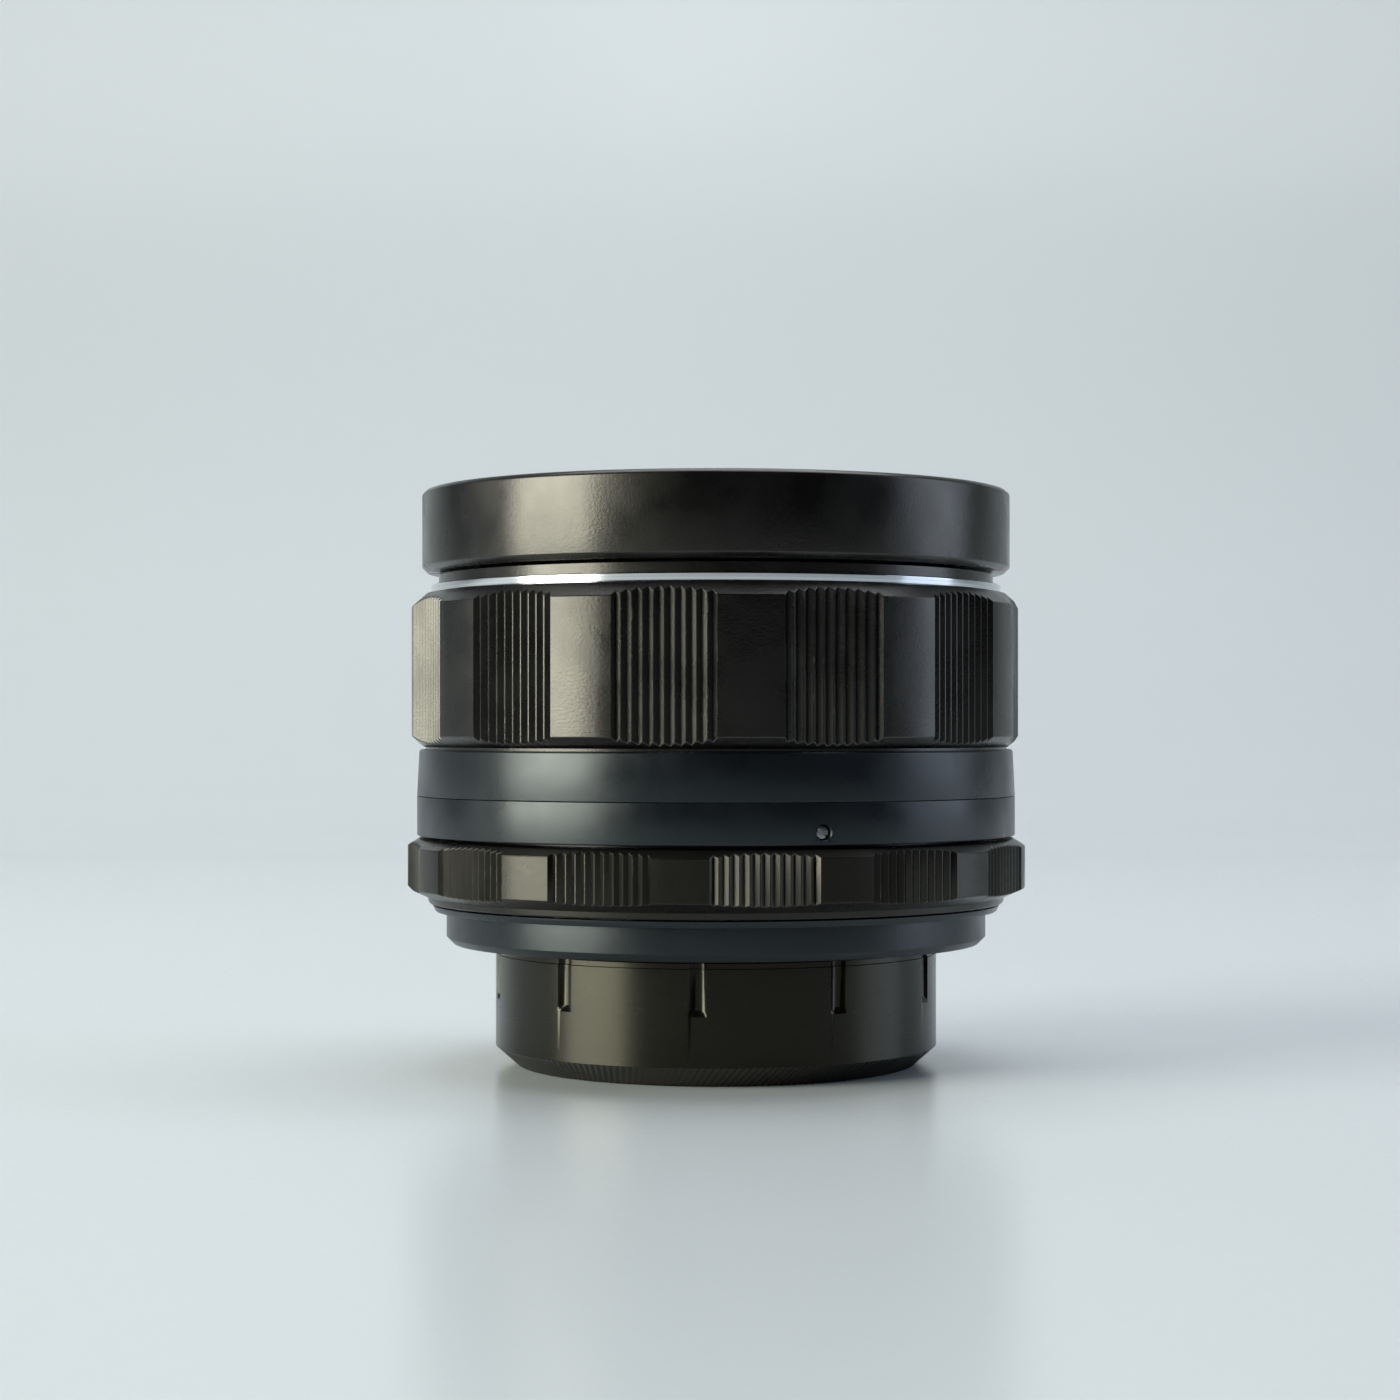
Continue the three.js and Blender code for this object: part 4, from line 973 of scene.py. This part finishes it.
white_paint = filled_paint("white_filled_engraving", "d9d8d2", "a5a49d")
distance_marks = bmesh.new()
for turn in [0.0] + [TURN_PER_MM * FOCAL_LENGTH**2 / (1000.0 * d - FOCAL_LENGTH) for d in DISTANCES]:
    wrap_on(distance_marks, line_shape(0.14, 0.9), scale_radius, SWITCH_ANGLE - turn, 28.35)
wrap_on(distance_marks, text_shape("\u221e", NUMBER_HEIGHT), scale_radius, SWITCH_ANGLE, 30.3)
for distance in DISTANCES:
    turn = TURN_PER_MM * FOCAL_LENGTH**2 / (1000.0 * distance - FOCAL_LENGTH)
    wrap_on(
        distance_marks, text_shape(f"{distance:g}", NUMBER_HEIGHT), scale_radius, SWITCH_ANGLE - turn, 30.3
    )
finish_piece("distance_numbers", distance_marks, white_paint, "focus_ring", [], 30.0)

depth_marks = bmesh.new()
wrap_on(depth_marks, line_shape(0.32, 3.0), lambda height: INDEX_RADIUS, SWITCH_ANGLE, 25.7)
for stop, turn in DEPTH_STOPS:
    for side in (-1, 1):
        angle = SWITCH_ANGLE + side * turn
        wrap_on(depth_marks, line_shape(0.12, 1.0), lambda height: INDEX_RADIUS, angle, 26.8)
        wrap_on(depth_marks, text_shape(str(stop), 1.4), lambda height: INDEX_RADIUS, angle, 25.1)
finish_piece("depth_of_field_numbers", depth_marks, white_paint, "barrel", [], 30.0)


# ------------------------------------------------------------------ trim ring, neck and front rim
# A polished ring of bare aluminium closes the focus ring, its face leaning out so that it mirrors the
# table. The neck slides through it, and carries the blasted front rim with its filter thread.
TRIM_BORE = 28.78
TRIM_LOW = 47.7
TRIM_TOP = 49.17
polished = turned_metal("polished_aluminium", "e4e7ea", "c7cbcf", 0.12, 0.1, 1.0, 0.0006)
trim_shape = spin_outline(
    [
        (TRIM_BORE, TRIM_LOW), (29.6, TRIM_LOW), (29.6, 48.26), (29.28, 48.34), (29.41, 49.08),
        (29.32, TRIM_TOP), (TRIM_BORE, TRIM_TOP),
    ],
    RING_STEPS,
    {2: 0.03, 4: 0.03},
)
finish_piece(
    "silver_trim_ring_polished", trim_shape, polished, "focus_ring",
    ["silver_trim_ring"], 12.0,
)

sleeve_shape = spin_outline(
    [
        (26.75, 36.0), (28.59, 36.0), (28.59, 50.17), (24.9, 50.17), (24.9, 48.9), (26.75, 48.9),
    ],
    RING_STEPS,
    {1: 0.15},
)
finish_piece(
    "focus_sleeve_turned", sleeve_shape, blasted_anodising, "lens_block",
    ["focus_sleeve"],
)

FILTER_PITCH = 0.75
filter_shape = spin_outline(
    [
        (24.9, 50.47), (29.76, 50.47), (30.31, 51.02), (30.31, 58.42), (29.9, 58.8), (29.35, 58.8),
        (28.98, 58.35),
        *[
            (radius, 58.35 + 54.15 - height)
            for radius, height in groove_points(29.3, 28.95, 54.15, 58.2, FILTER_PITCH)
        ],
        (28.95, 54.1), (27.4, 54.1), (27.4, 51.9), (24.9, 51.9),
    ],
    RING_STEPS,
    {1: 0.06, 2: 0.08, 3: 0.16, 4: 0.12},
)
finish_piece(
    "filter_ring_blasted", filter_shape, blasted_anodising, "lens_block",
    ["filter_ring"], 30.0,
)

# The name ring is plain here, with two fine turned grooves in place of its engraving.
name_shape = spin_outline(
    [
        (21.5, 52.3), (28.6, 54.9), (28.6, 55.7), (27.9, 55.44), (27.8, 55.3), (27.7, 55.37), (22.6, 53.5),
        (22.5, 53.36), (22.4, 53.43), (21.5, 53.1),
    ],
    RING_STEPS,
)
finish_piece(
    "name_ring_turned", name_shape, smooth_anodising, "lens_block", ["name_ring"]
)


# ------------------------------------------------------------------ glass
# Seven ground and polished elements with an anti-reflection coating that glows amber and violet.
# Each rim is blackened on the real lens and lies hidden in its cell.
ELEMENTS = (
    (21.0, 55.0, 48.0, 21.0, 49.4, 200.0, 21.0),
    (18.0, 49.0, 26.0, 18.0, 43.6, 52.0, 18.0),
    (16.0, 42.9, 60.0, 16.0, 41.2, 17.5, 12.8),
    (14.0, 24.4, -17.0, 12.0, 22.9, 60.0, 14.0),
    (14.0, 22.6, 60.0, 14.0, 16.9, -30.0, 14.0),
    (13.5, 16.5, -80.0, 13.5, 13.9, -30.0, 13.5),
    (13.0, 13.4, 90.0, 13.0, 10.9, -90.0, 13.0),
)  # radius, front vertex, front curve, front rim, rear vertex, rear curve, rear rim
COATINGS = ("amber", "violet", "amber", "violet", "amber", "amber", "violet")


def coated_glass(name, film_nm):
    """Optical glass: clear, with a film a few hundred atoms thick that tints its reflections."""
    material, tree, shader = new_material(
        name,
        {
            "Base Color": to_linear("f4f6f8"), "Roughness": 0.01, "IOR": 1.62, "Transmission Weight": 1.0,
            "Thin Film Thickness": film_nm, "Thin Film IOR": 1.38,
        },
    )
    place = add_node(tree, "ShaderNodeTexCoord").outputs["Object"]
    smears = add_node(
        tree, "ShaderNodeTexNoise", inputs={"Scale": 90.0, "Detail": 4.0}, links={"Vector": place}
    )
    haze = add_node(
        tree, "ShaderNodeMapRange",
        inputs={"From Min": 0.5, "From Max": 0.75, "To Min": 0.005, "To Max": 0.03},
        links={"Value": smears.outputs["Fac"]},
    )
    tree.links.new(haze.outputs["Result"], shader.inputs["Roughness"])
    return material


glass = {
    "amber": coated_glass("amber_coated_glass", 95.0), "violet": coated_glass("violet_coated_glass", 135.0)
}


def face_line(vertex_z, curve, rim, radius):
    """(radius, height) points of a spherical face from its middle out, with a flat rim if it stops short."""
    points = []
    for step in range(17):
        at = rim * step / 16
        drop = abs(curve) - math.sqrt(curve * curve - at * at)
        points.append((at, vertex_z - math.copysign(drop, curve)))
    if rim < radius:
        points.append((radius, points[-1][1]))
    return points


for count, (radius, front, front_curve, front_rim, rear, rear_curve, rear_rim) in enumerate(ELEMENTS):
    outline = face_line(rear, rear_curve, rear_rim, radius)
    outline += face_line(front, front_curve, front_rim, radius)[::-1]
    node = f"lens_element_{count + 1}"
    finish_piece(
        f"{node}_polished", spin_outline(outline, 96), glass[COATINGS[count]], "lens_block",
        [node], 25.0,
    )


# ------------------------------------------------------------------ cells, holding rings and hidden metal
# The cells and their rings are turned aluminium painted matt black, and stepped for each element.
# They and the brass and steel work behind them are seen through the glass and with the cap off.
FRONT_CELL_OUTLINE = [
    (13.0, 34.9), (21.5, 34.9), (21.5, 46.8), (24.6, 46.8), (24.6, 51.6), (21.3, 51.6), (21.3, 47.95),
    (18.3, 47.95), (18.3, 40.1), (16.3, 40.1), (16.3, 35.3), (13.0, 35.3),
]
REAR_CELL_OUTLINE = [
    (14.3, 10.4), (15.5, 10.4), (15.5, 29.2), (17.0, 29.2), (17.0, 30.1), (13.0, 30.1), (13.0, 29.65),
    (14.3, 29.65),
]
HOLDING_RINGS = {
    "front_retaining_ring": (20.0, 21.1, 50.95, 52.0),
    "middle_retaining_ring": (17.0, 18.0, 43.0, 44.2),
    "rear_retaining_ring": (12.0, 14.0, 10.6, 11.4),
    "rear_spacer_ring_front": (12.9, 14.0, 17.95, 19.5),
    "rear_spacer_ring_rear": (12.3, 14.0, 12.95, 16.2),
}
painted_rings = {"front_lens_cell": FRONT_CELL_OUTLINE, "rear_lens_cell": REAR_CELL_OUTLINE}
for name, (inner, outer, bottom, top) in HOLDING_RINGS.items():
    painted_rings[name] = [(inner, bottom), (outer, bottom), (outer, top), (inner, top)]
for name, outline in painted_rings.items():
    shape = spin_outline(outline, 128, {0: 0.06, 1: 0.06, 2: 0.06, 3: 0.06})
    piece = finish_piece(
        f"{name}_painted", shape, matt_paint, "lens_block", [name]
    )
    if name in ("front_retaining_ring", "rear_retaining_ring"):
        inner, outer, bottom, top = HOLDING_RINGS[name]
        face = top if name.startswith("front") else bottom
        notches = [
            cylinder(0.35, 0.9, on_circle((inner + outer) / 2, angle, face)) for angle in (20.0, 200.0)
        ]
        carve(piece, notches)

blued_steel = turned_metal("blued_blade_steel", "3a3d45", "25272d", 0.34, 0.35)
CARRIED_OVER = {
    "fixed_barrel": bare_aluminium, "lens_carrier": matt_paint, "guide_key_a": brass, "guide_key_b": brass,
    "focus_retaining_ring": brass, "aperture_fork": brass, "focus_helicoid_ring": brass,
    "iris_base_plate": matt_paint, "iris_drive_ring": brass, "iris_drive_pin": steel,
    "aperture_click_ball": steel, "aperture_click_spring": steel, "aperture_fork_screw": steel,
    "helicoid_screw_1": steel, "helicoid_screw_2": steel, "helicoid_screw_3": steel,
    **{f"iris_blade_{k}": blued_steel for k in range(1, 7)},
}
for name, material in CARRIED_OVER.items():
    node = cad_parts[name]
    node.data.materials.clear()
    node.data.materials.append(material)
